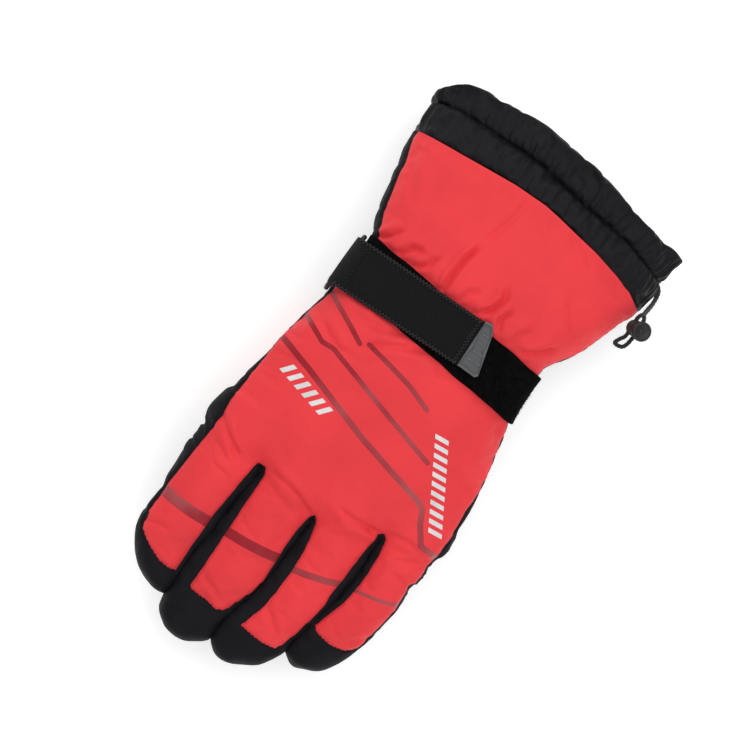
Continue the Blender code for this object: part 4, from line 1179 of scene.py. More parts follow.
def ring_mesh(rows, closed=False):
    """Points and quads of rows of points that each close on themselves."""
    ids = np.arange(len(rows) * len(rows[0])).reshape(len(rows), -1)
    if closed:
        ids = np.concatenate([ids, ids[:1]])
    onward = np.roll(ids, -1, 1)
    quads = np.stack([ids[:-1], onward[:-1], onward[1:], ids[1:]], 2)
    return np.concatenate(rows), quads.reshape(-1, 4)


def capped(rows):
    """A tube of rows with a face over each end."""
    points, quads = ring_mesh(rows)
    count = len(rows[0])
    return points, [*quads.tolist(), range(count)[::-1], range(len(points) - count, len(points))]


RIM_LINE = (
    (-80.0, 146.0), (-66.0, 150.0), (-63.5, 155.5), (-60.0, 162.0), (-55.0, 166.4), (-50.0, 168.8),
    (-40.0, 170.2), (-12.0, 171.0), (0.0, 170.2), (20.0, 168.0), (40.0, 163.0), (57.0, 159.0),
    (66.0, 156.6), (70.0, 155.2), (76.0, 156.6), (81.0, 155.6), (85.0, 151.0), (95.0, 146.0),
)
GATHER_LINE = (
    (-80.0, 152.0), (-66.0, 152.0), (-60.0, 154.8), (-50.0, 156.2), (-20.0, 156.0), (0.0, 155.4),
    (12.0, 153.2), (30.0, 150.4), (50.0, 148.4), (65.0, 144.4), (80.0, 141.0), (95.0, 138.0),
)
HEM_STEPS = 380
LINING_LIFT = -5.2
LINING_END = 20.0


def hem_station(line, angle):
    """Y of a hem line at each angle round the cuff: the palm side leans back."""
    curve = curve_through(line)
    y = np.full(angle.shape, 150.0)
    for _ in range(6):
        x, z = outline(angle, y, -1.0)
        y = curve(x) - palm_lean(z, HAND_MIDDLE(y))
    return y


def puckers(walk, seed, pitches):
    """Uneven gathers along a line: walk is the distance along it."""
    local = np.random.default_rng(seed)
    total = np.zeros(walk.shape)
    lap = walk / walk.max() * 2 * math.pi
    for pitch in pitches:
        count = max(1, round(walk.max() / pitch))
        strength = 0.5 + 0.5 * np.sin(lap * local.integers(1, 4) + local.uniform(0, 6.28))
        warp = 0.35 * np.sin(lap * (count // 3 + 1) + local.uniform(0, 6.28))
        phase = lap * count + 3.0 * warp + local.uniform(0, 6.28)
        total += strength * (2.0 * np.abs(np.sin(phase / 2)) ** 0.8 - 1.2)
    return total / len(pitches)


def ring_piece(name, rows, look, held=(), close=False):
    """A sleeve of fabric from rows round the glove. With held rows, a cloth simulation puffs it up."""
    points, faces = ring_mesh(rows)
    count = len(rows[0])
    if held:
        pins = np.zeros((len(rows), count))
        pins[list(held)] = 1.0
        points = inflate(points, faces, pins.ravel(), 2.2, 3.0, 0.05, 0.15)
    if close:
        triangles = triangles_of(points, faces)
        last = np.arange(len(points) - count, len(points))
        fan = np.stack([last, np.roll(last, -1), np.full(count, len(points))], 1)
        triangles = np.concatenate([triangles, fan])
        points = np.concatenate([points, rows[-1].mean(0)[None]])
    else:
        points, faces = subdivided(points, faces)
        triangles = triangles_of(points, faces)
    points = points + vertex_normals(points, triangles) * (drift(points * 1.5) * 0.25)[:, None]
    sheet = {"points": points, "triangles": triangles, "normals": vertex_normals(points, triangles)}
    return sheet_object(name, sheet, look)


def build_hem():
    """The nylon hem: a flat band, a gathered seam, and a padded roll that turns into the lining."""
    angle = np.linspace(0, 2 * math.pi, HEM_STEPS, endpoint=False)
    x, z = outline(angle, 150.0)
    steps = np.hypot(np.diff(x, append=x[0]), np.diff(z, append=z[0]))
    walk = np.concatenate([[0.0], np.cumsum(steps)[:-1]])
    mouth, gather, rim = (hem_station(line, angle) for line in (MOUTH_LINE, GATHER_LINE, RIM_LINE))
    fine = puckers(walk, 3, (4.6, 6.2, 9.0)) * 1.7
    broad = puckers(walk, 5, (17.0, 26.0, 40.0))
    band = [away_from(angle, mouth + share * (gather - mouth), -2.6) for share in (-0.30, -0.12)]
    band.append(away_from(angle, mouth, -1.2))
    for share in np.arange(1, 13) / 13:
        swell = math.sin(math.pi * share) ** 0.6
        near = share**1.8
        lift = -1.2 + 1.9 * swell - 0.7 * share + near * (1.7 * fine + 0.9 * broad) + 0.25 * broad
        band.append(away_from(angle, mouth + share * (gather - mouth) + near * 0.5 * broad, lift))
    band.append(away_from(angle, gather + 0.5 * broad, -3.0 + 0.35 * fine))
    roll = [band[-1]]
    for share in np.arange(1, 13) / 13:
        swell = math.sin(math.pi * min(share * 0.62, 0.5)) ** 0.55
        near = (1 - share) ** 1.9
        lift = -2.8 + 4.0 * swell + near * (1.8 * fine + 0.9 * broad) + 0.4 * broad
        roll.append(away_from(angle, gather + 0.98 * share * (rim - gather) + near * 0.5 * broad, lift))
    for bend in np.radians(range(25, 176, 25)):
        y = rim - 1.2 + 1.6 * math.sin(bend) + 0.15 * broad
        roll.append(away_from(angle, y, 1.2 - 3.6 * (1 - math.cos(bend)) + 0.3 * broad))
    for depth, lift in ((3.0, -6.9), (6.0, -7.2), (9.0, -7.0), (12.0, -6.4), (14.5, LINING_LIFT)):
        roll.append(away_from(angle, rim - depth, lift))
    lining = [roll[-1]]
    for share in np.linspace(0.08, 1.0, 16):
        y = (rim - 14.5) * (1 - share) + LINING_END * share
        lining.append(away_from(angle, y, LINING_LIFT + 0.3 * fine * (1 - share)))
    put(ring_piece("hem_band_fabric", band, "nylon", (0, 1, 2, -1)), "cuff", "hem_band")
    put(ring_piece("hem_roll_fabric", roll, "nylon", (0, -1)), "cuff", "hem_roll")
    inside = ring_piece("fleece_lining", lining, "fleece", close=True)
    blend(inside, "hand", "cuff", WRIST_ZONE)
    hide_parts("cuff_lining")


# ---------------------------------------------------------------- solid shapes

def smooth_object(name, points, faces, look, slot_name, sharp=50.0):
    """A closed piece with smooth faces. Edges that bend more than the sharp angle stay sharp."""
    made = mesh_object(name, points, faces)
    check = bmesh.new()
    check.from_mesh(made.data)
    bmesh.ops.recalc_face_normals(check, faces=check.faces)
    check.to_mesh(made.data)
    check.free()
    made.data.shade_smooth()
    made.data.set_sharp_from_angle(angle=math.radians(sharp))
    return dress(made, look)


def slab_object(name, centre, out, half, look, slot_name, uv, bevel):
    """A strip with a grid of points in its middle and half its thickness on both sides of them."""
    ids = np.arange(centre[..., 0].size).reshape(centre.shape[:2])
    quads = np.stack([ids[:-1, :-1], ids[1:, :-1], ids[1:, 1:], ids[:-1, 1:]], 2).reshape(-1, 4)
    rim = np.concatenate([ids[:, 0], ids[-1, 1:], ids[-2::-1, -1], ids[0, -2:0:-1]])
    onward = np.roll(rim, -1)
    sides = np.stack([onward, rim, rim + ids.size, onward + ids.size], 1)
    faces = np.concatenate([quads, quads[:, ::-1] + ids.size, sides])
    points = np.concatenate([centre + out * half, centre - out * half]).reshape(-1, 3)
    made = smooth_object(name, points, faces, look, slot_name, 60.0)
    flat = np.concatenate([uv, uv]).reshape(-1, 2).astype(np.float32)
    made.data.uv_layers.new(name="mm").data.foreach_set("uv", flat[corners_of(made)].ravel())
    rounded = made.modifiers.new("edges", "BEVEL")
    rounded.width = bevel * MM
    rounded.segments = 2
    rounded.limit_method = "ANGLE"
    rounded.angle_limit = math.radians(50)
    return made


def tube_mesh(path, radius, sides=10, closed=False):
    """Points and faces of a round rod along a path."""
    path = np.asarray(path, float)
    ahead, behind = np.roll(path, -1, 0), np.roll(path, 1, 0)
    if not closed:
        ahead[-1], behind[0] = path[-1], path[0]
    tangent = unit(ahead - behind)
    normal = np.cross(tangent[0], (0.3, 0.2, 0.93))
    turn = np.arange(sides)[:, None] * 2 * math.pi / sides
    rows = []
    for spot, way, size in zip(path, tangent, np.broadcast_to(radius, len(path))):
        normal = unit(normal - way * (normal @ way))
        rows.append(spot + (normal * np.cos(turn) + np.cross(way, normal) * np.sin(turn)) * size)
    return ring_mesh(rows, True) if closed else capped(rows)


def lathe_mesh(profile, centre, axis):
    """A turned shape: profile rows are (distance along the axis, radius)."""
    side = unit(np.cross(axis, (0.0, 1.0, 0.0)))
    turn = np.linspace(0, 2 * math.pi, 48, endpoint=False)[:, None]
    ring = side * np.cos(turn) + np.cross(axis, side) * np.sin(turn)
    return capped([centre + axis * along + ring * radius for along, radius in profile])


def joined(meshes):
    """Several meshes as one."""
    points, faces, total = [], [], 0
    for more, more_faces in meshes:
        points.append(more)
        faces += [[v + total for v in face] for face in more_faces]
        total += len(more)
    return np.concatenate(points), faces


def rounded_path(corners, radius):
    """A closed path through corners with each corner rounded."""
    path = []
    for before, spot, after in zip(np.roll(corners, 1, 0), corners, np.roll(corners, -1, 0)):
        for share in np.linspace(0, 1, 6):
            turn = unit(before - spot) * (1 - share) ** 2 + unit(after - spot) * share**2
            path.append(spot + turn * radius)
    return path


def refined(ring, least):
    """A ring of places with more points between them, about 0.8 mm apart."""
    fine = []
    for a, b in zip(ring, np.roll(ring, -1, 0)):
        count = max(least, int(np.linalg.norm(b - a) / 0.8))
        fine += [a + (b - a) * k / count for k in range(count)]
    return np.array(fine)


# ---------------------------------------------------------------- strap

STRAP_STATIONS = np.arange(36.0, 92.0, 1.0)
ROUND = np.linspace(-math.pi, math.pi, 721)
FLAP_MIDDLE, FLAP_LOW, FLAP_HIGH, FLAP_LEAN = 62.8, 50.2, 75.4, 1.4
FLAP_END_X, FLAP_LIFT, BAR_LIFT, BAR_TURN, KEEPER_TURN = 19.3, 3.25, 3.05, 2.05, 1.95
ZIGZAG_PITCH, ZIGZAG_WIDTH = 1.9, 1.5
TAB_Y = 62.0
TAB_OUTLINE = (
    (18.4, 76.2), (22.2, 76.6), (24.6, 72.6), (27.2, 62.0), (29.6, 51.6), (28.4, 50.2), (18.4, 50.6),
)
# The tab's border and top: distance inward, lift.
TAB_LEVELS = (
    (0.0, 2.35), (0.0, 4.0), (0.35, 4.45), (1.1, 4.5), (1.5, 4.3), (1.75, 3.85), (3.2, 3.8), (99.0, 3.8),
)


def wrist_row(y):
    """The wrist's outline at a station: distance from the middle of the back, x, z and the way out."""
    x, z = outline(math.pi / 2 - ROUND, y)
    walk = np.concatenate([[0.0], np.cumsum(np.hypot(np.diff(x), np.diff(z)))])
    middle = np.interp(0.0, x[180:541], walk[180:541])
    return walk - middle, x, z, -np.gradient(z, walk), np.gradient(x, walk)


WRIST = [wrist_row(y) for y in STRAP_STATIONS]


def on_wrist(walk, y, lift):
    """Points above the wrist: walk is the distance round it from the middle of the back."""
    walk, y, lift = np.broadcast_arrays(np.asarray(walk, float), y, lift)
    low = np.clip((y - STRAP_STATIONS[0]).astype(int), 0, len(WRIST) - 2)
    share = y - STRAP_STATIONS[0] - low
    result = np.zeros(walk.shape + (3,))
    for number in np.unique(low):
        chosen = low == number
        rows = WRIST[number:number + 2]
        ends = [[np.interp(walk[chosen], row[0], part) for part in row[1:]] for row in rows]
        x, z, out_x, out_z = (a * (1 - share[chosen]) + b * share[chosen] for a, b in zip(*ends))
        out = lift[chosen] / np.hypot(out_x, out_z)
        result[chosen] = np.stack([x + out_x * out, y[chosen], z + out_z * out], -1)
    return result


def strip(walk, y, lift):
    """Points of a strip along the wrist, and the way out at each."""
    spots = on_wrist(walk, y, lift)
    return spots, unit(on_wrist(walk, y, lift + 1.0) - spots)


def round_bar(walk, y, sense, radius, turns):
    """Points of a strip that turns round a bar of the loop, and the way out at each."""
    foot, outward = strip(walk, y, BAR_LIFT)
    onward = sense * np.stack([-outward[:, 2], outward[:, 1], outward[:, 0]], 1)
    bend = np.radians(turns)[:, None, None]
    out = outward * np.cos(bend) + onward * np.sin(bend)
    return foot + out * radius, out


def walk_at(x, y):
    """Distance round the back of the wrist to places seen from above."""
    walk, across, height = WRIST[int(round(y - STRAP_STATIONS[0]))][:3]
    back = (np.abs(walk) < 66.0) & (height > 20.0)
    return np.interp(x, across[back], walk[back])


def walk_near(joint, walks):
    """Which of the distances round the wrist comes nearest to a bar of the loop."""
    spots = on_wrist(walks, FLAP_MIDDLE, BAR_LIFT)
    x, _, z = joint_mm(joint)
    return walks[np.argmin(np.hypot(spots[:, 0] - x, spots[:, 2] - z))]


def on_tape(walk, side, lift):
    """Points above the tape round the wrist, at a distance from its middle line."""
    return on_wrist(walk, strap_middle(on_wrist(walk, STRAP_Y, 0.0)[..., 0]) + side, lift)


def build_strap_base():
    """The fuzzy tape sewn round the back of the wrist."""
    left, right = walk_at(-46.0, 67.0) - 6.5, walk_at(54.0, 55.0) + 9.0
    walks = np.linspace(left, right, 90)[:, None]
    across = np.linspace(-1, 1, 25)
    middle = strap_middle(on_wrist(walks, STRAP_Y, 0.0)[..., 0]) + 0.2 * np.sin(walks * 0.21)
    y = middle + across * 13.6 * (1 + 0.008 * np.sin(walks * 0.37))
    top = 1.75 + 0.18 * np.sin(walks * 0.31 + y * 0.2) - 0.5 * (np.abs(across) > 0.99)
    upper, lower = on_wrist(walks, y, top), on_wrist(walks, y, 0.3)
    uv = np.stack(np.broadcast_arrays(walks, y), -1)
    tape = slab_object(
        "strap_base_tape", (upper + lower) / 2, (upper - lower) / 2, 1.0, "pile", "loop_tape", uv, 0.3
    )
    put(tape, "hand", "strap_base")
    local = np.random.default_rng(11)
    tufts = []
    for _ in range(1500):
        along = local.uniform(walk_at(24.0, 58.0), right)
        root = on_tape(along, local.uniform(-12.9, 12.9), 1.7)
        lean = local.normal(size=3) * 0.45
        size = local.uniform(0.35, 0.6)
        path = [root, root + (lean + (0, 0, 0.5)) * size, root + (lean * 1.8 + (0, 0, 0.25)) * size]
        tufts.append(tube_mesh(path, 0.07, 3))
    put(smooth_object("strap_base_pile", *joined(tufts), "pile", "loop_tape"), "hand")
    steps = np.array([-0.85, -0.3, 0.3, 0.85])
    stitches = []
    for side in (-12.4, 12.4):
        for along in np.arange(left + 1.0, right - 1.0, 2.6):
            path = on_tape(along + steps, side, 1.62 + 0.30 * (1 - np.abs(steps) / 0.85))
            stitches.append(tube_mesh(path, 0.2, 5))
    put(smooth_object("strap_base_stitches", *joined(stitches), "pile", "black_shell"), "hand")


def build_flap():
    """The webbing flap: from the tab's seam over the wrist and round the loop's far bar."""
    right = walk_at(FLAP_END_X, FLAP_MIDDLE)
    left = walk_near("strap_peel", np.linspace(-80, -30, 400))

    def across(walk):
        """Y of the points across the webbing, which leans a little at its fold."""
        high = FLAP_HIGH + FLAP_LEAN * (1 - (walk - left) / (right - left))
        return FLAP_LOW + np.linspace(0, 1, 23) * (high - FLAP_LOW)

    def lift_at(walk):
        return FLAP_LIFT + (1 - eased((walk - left) / 16.0)) * (BAR_LIFT + BAR_TURN - FLAP_LIFT)

    walks = np.linspace(right, left, 80)[:, None]
    back = np.linspace(2.0, 24.0, 20)[:, None]
    over, over_out = strip(walks, across(walks), lift_at(walks))
    turned, turned_out = round_bar(left, across(left), 1, BAR_TURN, np.linspace(20, 180, 9))
    under, under_out = strip(left + back, across(left + back), 1.0 + 1.35 * eased(back / 14.0))
    centre = np.concatenate([over, turned, under])
    out = np.concatenate([over_out, turned_out, -under_out])
    steps = np.linalg.norm(np.diff(centre[:, 11], axis=0), axis=1)
    run = np.concatenate([[0.0], np.cumsum(steps)])[:, None]
    uv = np.stack(np.broadcast_arrays(run, centre[..., 1]), -1)
    half = np.full((23, 1), 0.55)
    half[[0, -1]] = 0.42
    webbing = slab_object("strap_webbing_weave", centre, out, half, "webbing", "webbing", uv, 0.25)
    put(webbing, "strap_flap", "strap_webbing")

    def zigzag(start, stop, lift, radius):
        """A zigzag seam between two places given as (walk, y)."""
        start, stop = np.array(start), np.array(stop)
        count = max(2, round(np.hypot(*(stop - start)) / (ZIGZAG_PITCH / 2)))
        number = np.arange(count + 1)[:, None]
        spots = start + (stop - start) * number / count
        spots[:, 0 if start[0] == stop[0] else 1] += ZIGZAG_WIDTH * (number[:, 0] % 2 - 0.5)
        return tube_mesh(on_wrist(*spots.T, lift_at(spots[:, 0]) + lift), radius, 6)

    thread = smooth_object("strap_zigzag_stitches", *joined((
        zigzag((left + 2.5, FLAP_LOW + 0.8), (right - 2.4, FLAP_LOW + 0.8), 0.66, 0.46),
        zigzag((left + 2.5, FLAP_HIGH + FLAP_LEAN - 0.8), (right - 2.4, FLAP_HIGH - 0.8), 0.66, 0.46),
        zigzag((right - 3.2, 51.0), (right - 3.2, 74.6), 0.62, 0.34),
        zigzag((left + 7.0, 52.6), (left + 7.0, 74.0), 0.62, 0.26),
    )), "thread", "webbing")
    put(thread, "strap_flap")
    walks = np.linspace(walk_at(-22.0, 62.0), walk_at(13.0, 62.0), 30)
    grid = np.meshgrid(walks, np.linspace(52.4, 73.4, 12), indexing="ij")
    uv = np.stack(grid, -1)
    patch = slab_object("strap_hook_tape", *strip(*grid, 2.3), 0.3, "hooks", "hook_tape", uv, 0.15)
    put(patch, "strap_flap", "strap_hook_patch")


def build_tab():
    """The grey moulded pull tab: a triangle with a raised border and grip ridges."""
    ring = refined(np.array(TAB_OUTLINE), 2)
    inward = ring.mean(0) - ring
    length = np.linalg.norm(inward, axis=1)[:, None]
    rows = []
    for inset, lift in TAB_LEVELS:
        spots = ring + inward / length * np.minimum(inset, length * 0.9)
        rows.append(on_wrist(walk_at(spots[:, 0], TAB_Y), spots[:, 1], lift))
    tab = smooth_object("pull_tab_rubber", *capped(rows), "rubber", "rubber_tab", 60.0)
    put(tab, "strap_flap", "pull_tab")
    ridges = []
    for step in range(4):
        x = np.linspace(20.6, 23.6 + 1.25 * step, 6)
        ridges.append(tube_mesh(on_wrist(walk_at(x, TAB_Y), 70.0 - 4.6 * step, 3.85), 0.42, 8))
    put(smooth_object("pull_tab_ridges", *joined(ridges), "rubber", "rubber_tab"), "strap_flap")


def build_loop():
    """The rod loop at the thumb side and the webbing keeper that holds it."""
    ends = [(joint_mm(name), joint_axis(name) * 15.5) for name in ("strap_peel", "strap_loop_swivel")]
    (far, far_half), (near, near_half) = ends
    corners = np.array([far - far_half, far + far_half, near + near_half, near - near_half])
    rod = tube_mesh(rounded_path(corners, 3.2), 1.2, 12, closed=True)
    put(smooth_object("strap_loop_rod", *rod, "plastic", "black_plastic"), "strap_loop", "strap_loop")
    width = np.linspace(-10.5, 10.5, 9)
    at = walk_near("strap_loop_swivel", np.linspace(-110, -50, 600))
    back = np.linspace(18.0, 0.0, 12)[:, None]
    lift = 0.9 + (BAR_LIFT + KEEPER_TURN - 0.9) * eased(1 - back / 18.0)
    flat, flat_out = strip(at - back, FLAP_MIDDLE + width, lift)
    turned, turned_out = round_bar(at, FLAP_MIDDLE + width, -1, KEEPER_TURN, np.linspace(25, 165, 7))
    centre, out = np.concatenate([flat, turned]), np.concatenate([flat_out, turned_out])
    uv = np.stack(np.meshgrid(np.arange(len(centre)) * 1.5, width, indexing="ij"), -1)
    keeper = slab_object("strap_keeper_webbing", centre, out, 0.45, "webbing", "webbing", uv, 0.2)
    put(keeper, "hand", "loop_keeper")


# ---------------------------------------------------------------- cord and lock

BARREL_END = [(-4.4, 2.9), (-4.5, 3.3), (-4.2, 3.8), (-3.7, 4.1)]
BARREL_MOUTH = [(3.9, 4.1), (4.3, 3.8), (4.5, 3.3), (4.5, 2.7), (-0.2, 2.65)]
BUTTON = (
    (2.2, 2.15), (7.0, 2.15), (7.1, 4.3), (7.35, 4.75), (7.8, 5.0), (8.7, 5.0), (9.15, 4.75),
    (9.35, 4.3), (9.3, 3.6), (9.05, 3.2), (9.0, 1.2), (9.25, 0.9), (9.3, 0.3),
)


def smooth_path(path, steps):
    """More points on a smooth curve through a path's points."""
    path = [path[0], *path, path[-1]]
    fine = []
    for p0, p1, p2, p3 in zip(path, path[1:], path[2:], path[3:]):
        for t in np.linspace(0, 1, steps, endpoint=False):
            second, third = 2 * p0 - 5 * p1 + 4 * p2 - p3, 3 * p1 - p0 - 3 * p2 + p3
            fine.append(0.5 * (2 * p1 + (p2 - p0) * t + second * t * t + third * t**3))
    return [*fine, path[-1]]


def build_cord_and_lock():
    """The spring cord lock, and the elastic cord that runs from the hem through it and back."""
    axis = -joint_axis("cord_lock_press")
    centre = np.mean(box_mm("cord_lock_body"), axis=0)
    profile = list(BARREL_END)
    for ridge in range(5):
        at = -3.2 + 1.25 * ridge
        profile += [(at, 4.15), (at + 0.25, 3.75), (at + 0.65, 3.75), (at + 0.9, 4.15)]
    barrel = lathe_mesh(profile + BARREL_MOUTH, centre, axis)
    barrel = smooth_object("cord_lock_barrel", *barrel, "plastic", "black_plastic", 40.0)
    put(barrel, "cord_lock", "cord_lock_body")
    button = lathe_mesh(BUTTON, centre, axis)
    button = smooth_object("cord_lock_plunger", *button, "plastic", "black_plastic", 40.0)
    put(button, "cord_lock_button", "cord_lock_button")
    end_y = box_mm("drawcord")[0][1]
    level = centre + axis * -2.3
    strands = []
    for sign in (-1, 1):
        spread = np.array([-axis[2], 0.0, axis[0]]) * 1.75 * sign
        strands.append([np.array(spot, float) for spot in (
            (78.0, 138.5 + 1.6 * sign, 1.0 + 2.2 * sign),
            (82.4, 135.5 + 0.8 * sign, 3.2 + 1.8 * sign),
            (83.2, 130.0, 8.0 + 1.5 * sign),
            (level[0] + 0.2, 123.0, level[2] - 3.4 + 1.2 * sign),
            level + spread + (0, 5.0, 0),
            level + spread + (0, -5.0, 0),
            (level[0] + spread[0] - 1.6, end_y + 4.4 + 1.2 * sign, level[2] + spread[2] - 1.0),
        )])
    bottom = np.array([level[0] - 4.2, end_y + 2.6, level[2] - 2.0])
    path = smooth_path([*strands[0], bottom, *strands[1][::-1]], 12)
    radius = 1.05 + 0.10 * np.sin(np.arange(len(path)) * 1.9)
    cord = smooth_object("elastic_drawcord", *tube_mesh(path, radius), "cord", "elastic", 80.0)
    put(cord, "cuff", "drawcord")


# ---------------------------------------------------------------- palm patch, thumb and gusset

PATCH_CORNER = 8.0


def build_palm_patch():
    """The leather patch on the palm, with a row of stitches along its edge."""
    low, high = box_mm("palm_patch")
    rows = []
    for inset, z in ((0.0, high[2] + 0.4), (0.0, low[2] + 0.35), (0.3, low[2] + 0.08), (0.8, low[2])):
        ring = []
        for corner, start in (((1, 1), 0), ((-1, 1), 90), ((-1, -1), 180), ((1, -1), 270)):
            middle = (low + high)[:2] / 2 + ((high - low)[:2] / 2 - PATCH_CORNER) * corner
            turn = np.radians(np.linspace(start, start + 90, 12))
            ring.append(middle + (PATCH_CORNER - inset) * np.stack([np.cos(turn), np.sin(turn)], 1))
        ring = np.concatenate(ring)
        rows.append(np.column_stack([ring, np.full(len(ring), z)]))
    patch = smooth_object("palm_patch_leather", *capped(rows), "patch", "palm_leather", 60.0)
    put(patch, "hand", "palm_patch")
    path = rows[-1][:, :2]
    path = path + unit(path.mean(0) - path) * 1.9
    path = np.concatenate([path, path[:1]])
    length = np.concatenate([[0.0], np.cumsum(np.linalg.norm(np.diff(path, axis=0), axis=1))])
    steps = np.array([0.0, 0.6, 1.2, 1.8])
    depth = low[2] + 0.15 - 0.17 * np.sin(math.pi * steps / 1.8)
    stitches = []
    for at in np.arange(0.0, length[-1] - 1.0, 2.9):
        x, y = (np.interp(at + steps, length, part) for part in path.T)
        stitches.append(tube_mesh(np.stack([x, y, depth], 1), 0.22, 5))
    put(smooth_object("palm_patch_stitches", *joined(stitches), "thread", "black_shell"), "hand")


THUMB_LENGTH = 64.0
THUMB_LOW, THUMB_HIGH = np.array([-19.0, -19.0, -17.0]), np.array([70.0, 19.0, 17.0])
THUMB_SEAMS = (("seam", (0.0, 0.6, -0.6), 0.7, 0.85), ("leather", (0.0, 0.6, -0.6), 0.45, 0.8))
THUMB_BEND = 9.0


def thumb_field(u, v, w):
    """Positive inside the thumb: u along it, v across, w up."""
    width = np.interp(u, [0.0, 28.0, 50.0, 64.0], [15.0, 14.6, 13.4, 12.6])
    height = np.interp(u, [0.0, 28.0, 64.0], [12.3, 12.1, 11.4])
    end = np.clip(np.maximum(u - (THUMB_LENGTH - 15.0), -u) / 15.0, 0.0, 1.0)
    close = (1 - end**2.3) ** (1 / 2.3)
    reach = ((np.abs(v) / width) ** 2.3 + (np.abs(w) / height) ** 2.3) ** (1 / 2.3)
    return (close - reach) * height


def thumb_seam(local):
    """Positive on the red panel of the thumb's outer side."""
    return np.minimum(-local[:, 1] - 4.0, 46.0 - local[:, 0])


def bump_at(distance, width):
    """A soft ridge, 1 high at no distance."""
    return np.exp(-((distance / width) ** 2))


def build_thumb():
    """The thumb stall under the palm: a red outer side and leather round the rest."""
    root = joint_mm("thumb_swing")
    along = joint_mm("thumb_bend") - root
    first = float(np.linalg.norm(along))
    along = along / first
    side = np.array([-along[1], along[0], 0.0])
    grid = np.meshgrid(*[np.arange(a, b, VOXEL) for a, b in zip(THUMB_LOW, THUMB_HIGH)], indexing="ij")
    local, quads = surface_nets(thumb_field(*grid), THUMB_LOW)
    local = relax(local, quads, 4)
    pins = np.where((local[:, 2] > 8.5) & (np.abs(local[:, 0]) < 16.0), 1.0, 0.0)
    pins = np.where(np.abs(thumb_seam(local)) < 1.3, 0.75, pins)
    local, quads = subdivided(inflate(local, quads, pins, 1.5), quads)
    points = root + local @ np.array([along, side, (0.0, 0.0, 1.0)])
    triangles = triangles_of(points, quads)
    normals = vertex_normals(points, triangles)
    u, v, w = local.T
    folds = 0.7 * bump_at(u - first - 1.5 * np.sin(v * 0.3), 1.5)
    folds += 0.5 * bump_at(u - first - 7.0 + 2.0 * np.sin(v * 0.25 + 1.0), 1.6)
    folds += 0.5 * bump_at(u - 8.0 + 2.0 * np.sin(v * 0.2), 1.8) * (w < 4.0)
    points = points + normals * (drift(points * 1.2) * 0.7 - folds)[:, None]
    sheet = {"points": points, "triangles": triangles, "normals": normals}
    sheet["seam"] = thumb_seam(local)
    sheet["leather"] = np.where(u < first + 18.0, 3.5 - w, 0.5 * (THUMB_LENGTH - 8.0 - u) - w)
    sheet["stripe"] = np.full(len(u), -50.0)
    sheet["level"] = u - (first - THUMB_BEND)
    tip, base = split(sewn(sheet, THUMB_SEAMS), "level")
    for part, part_sheet, covered in (
        ("base", base, ("thumb_base_sleeve", "thumb_base_liner")),
        ("tip", tip, ("thumb_cap", "thumb_tip_liner")),
    ):
        pieces = sewn_panels(f"thumb_{part}_", part_sheet)
        for piece in pieces:
            if part == "base":
                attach(piece, "thumb_base")
            else:
                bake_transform(piece)
        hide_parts(f"thumb_{part}_back")
        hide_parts(*covered)


# The gusset's rows, from the palm down: height and radius, where it hoods the thumb and elsewhere.
HOOD = (
    (3.6, 24.0), (1.6, 21.6), (-0.8, 19.6), (-4.0, 17.8), (-9.0, 16.8), (-14.0, 16.4), (-18.5, 14.9),
    (-21.0, 12.2),
)
COLLAR = (
    (3.6, 24.0), (2.4, 20.4), (1.2, 17.6), (0.0, 15.2), (-1.0, 13.6), (-2.0, 12.4), (-3.2, 11.4),
    (-4.6, 10.4),
)
HOOD_MIDDLE, HOOD_HALF, HOOD_FADE = 62.5, 87.5, 42.0


def palm_surface(x, y):
    """Height of the palm's outer surface."""
    left, right = HAND_LEFT(y), HAND_RIGHT(y)
    share = np.minimum(np.abs(x - (left + right) / 2) / ((right - left) / 2), 1.0)
    return HAND_MIDDLE(y) - HAND_HALF(y) * (1 - share**3) ** (1 / 3)


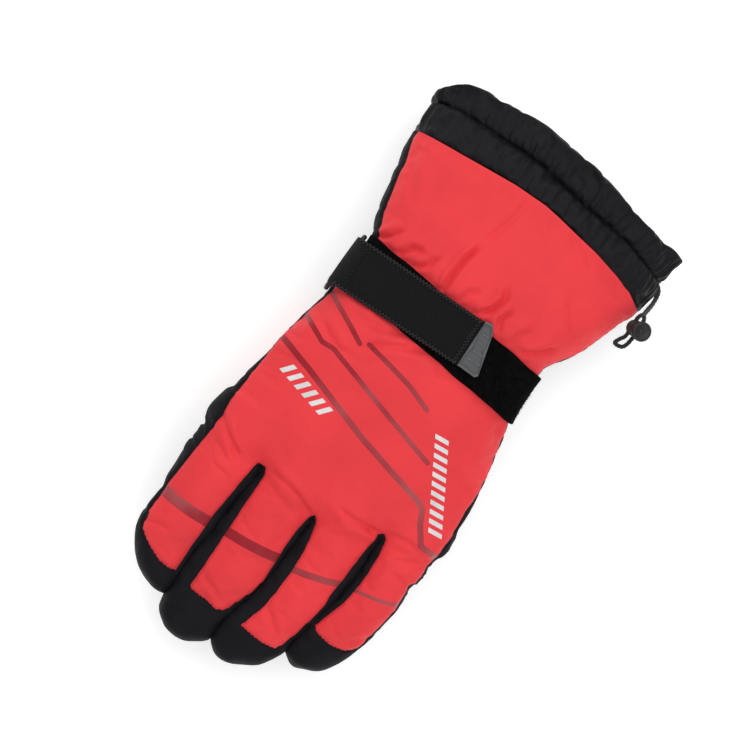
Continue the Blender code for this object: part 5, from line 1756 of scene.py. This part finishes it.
def build_gusset():
    """The soft gusset: a collar between palm and thumb that hoods the thumb's root at the back."""
    root = joint_mm("thumb_swing")
    turn = np.linspace(0, 2 * math.pi, 160, endpoint=False)
    away = np.abs((np.degrees(turn) - HOOD_MIDDLE + 180.0) % 360.0 - 180.0)
    hood = eased((HOOD_HALF + HOOD_FADE - away) / HOOD_FADE)
    gathers = puckers(turn * 18.0, 21, (6.0, 9.5, 14.0))
    rows = []
    for number, (hooded, plain) in enumerate(zip(HOOD, COLLAR)):
        height, radius = (b + (a - b) * hood for a, b in zip(hooded, plain))
        radius = radius + 0.45 * gathers * min(number, 3) / 3
        y = root[1] + radius * np.sin(turn)
        inside = HAND_LEFT(y) + 2.6 + 0.12 * np.maximum(-height, 0.0)
        x = np.maximum(root[0] + radius * np.cos(turn), inside)
        climb = max(0.0, 1 - number / 4.0) ** 0.8
        height = height + climb * (palm_surface(x, y) - palm_surface(root[0], root[1]))
        rows.append(np.stack([x, y, height], 1))
    put(ring_piece("thumb_gusset_fabric", rows, "softshell"), "hand", "thumb_gusset")


# ---------------------------------------------------------------- printed marks

# Scale about a mark's middle, and lift above the panel.
PRINT_LEVELS = ((1.0, -0.25), (1.0, 0.10), (0.93, 0.16), (0.6, 0.16), (0.3, 0.16), (0.0, 0.16))


def slanted(centre, size, lean, turn):
    """A bar with slanted ends, turned about its middle by degrees."""
    x, y = size[0] / 2, size[1] / 2
    corners = ((-x - lean, -y), (x - lean, -y), (x + lean, y), (-x + lean, y))
    c, s = math.cos(math.radians(turn)), math.sin(math.radians(turn))
    return np.array([(centre[0] + a * c - b * s, centre[1] + a * s + b * c) for a, b in corners])


def decal(name, first, step, count, size, turn, panel):
    """A row of thin raised bars printed on the panel below them."""
    meshes = []
    for i in range(count):
        ring = slanted(np.array(first) + np.array(step) * i, size, 1.6, turn)
        rows = []
        for scale, lift in PRINT_LEVELS:
            row = []
            for x, y in ring.mean(0) + (refined(ring, 1) - ring.mean(0)) * scale:
                spot, normal, _, _ = panel.ray_cast(Vector((x, y, 120.0)), Vector((0, 0, -1)))
                row.append(spot + normal * lift)
            rows.append(np.array(row))
        meshes.append(ring_mesh(rows))
    made = smooth_object(name, *joined(meshes), "print", "red_shell", 70.0)
    blend(made, "hand", "cuff", WRIST_ZONE)


def build_prints(back):
    """Plain slanted bars printed where such gloves carry a mark."""
    spots = [v.co * 1000.0 for v in back.data.vertices]
    panel = BVHTree.FromPolygons(spots, [tuple(p.vertices) for p in back.data.polygons])
    decal("printed_bars_short", (-49.0, 3.9), (5.2, -1.48), 6, (2.7, 6.6), -15.0, panel)
    decal("printed_bars_long", (32.6, 16.2), (2.24, -4.0), 11, (2.4, 6.8), -61.0, panel)


# ---------------------------------------------------------------- the glove

build_prints(place_panels(make_shell()))
build_hem()
build_strap_base()
build_flap()
build_tab()
build_loop()
build_cord_and_lock()
build_palm_patch()
build_thumb()
build_gusset()
studio()
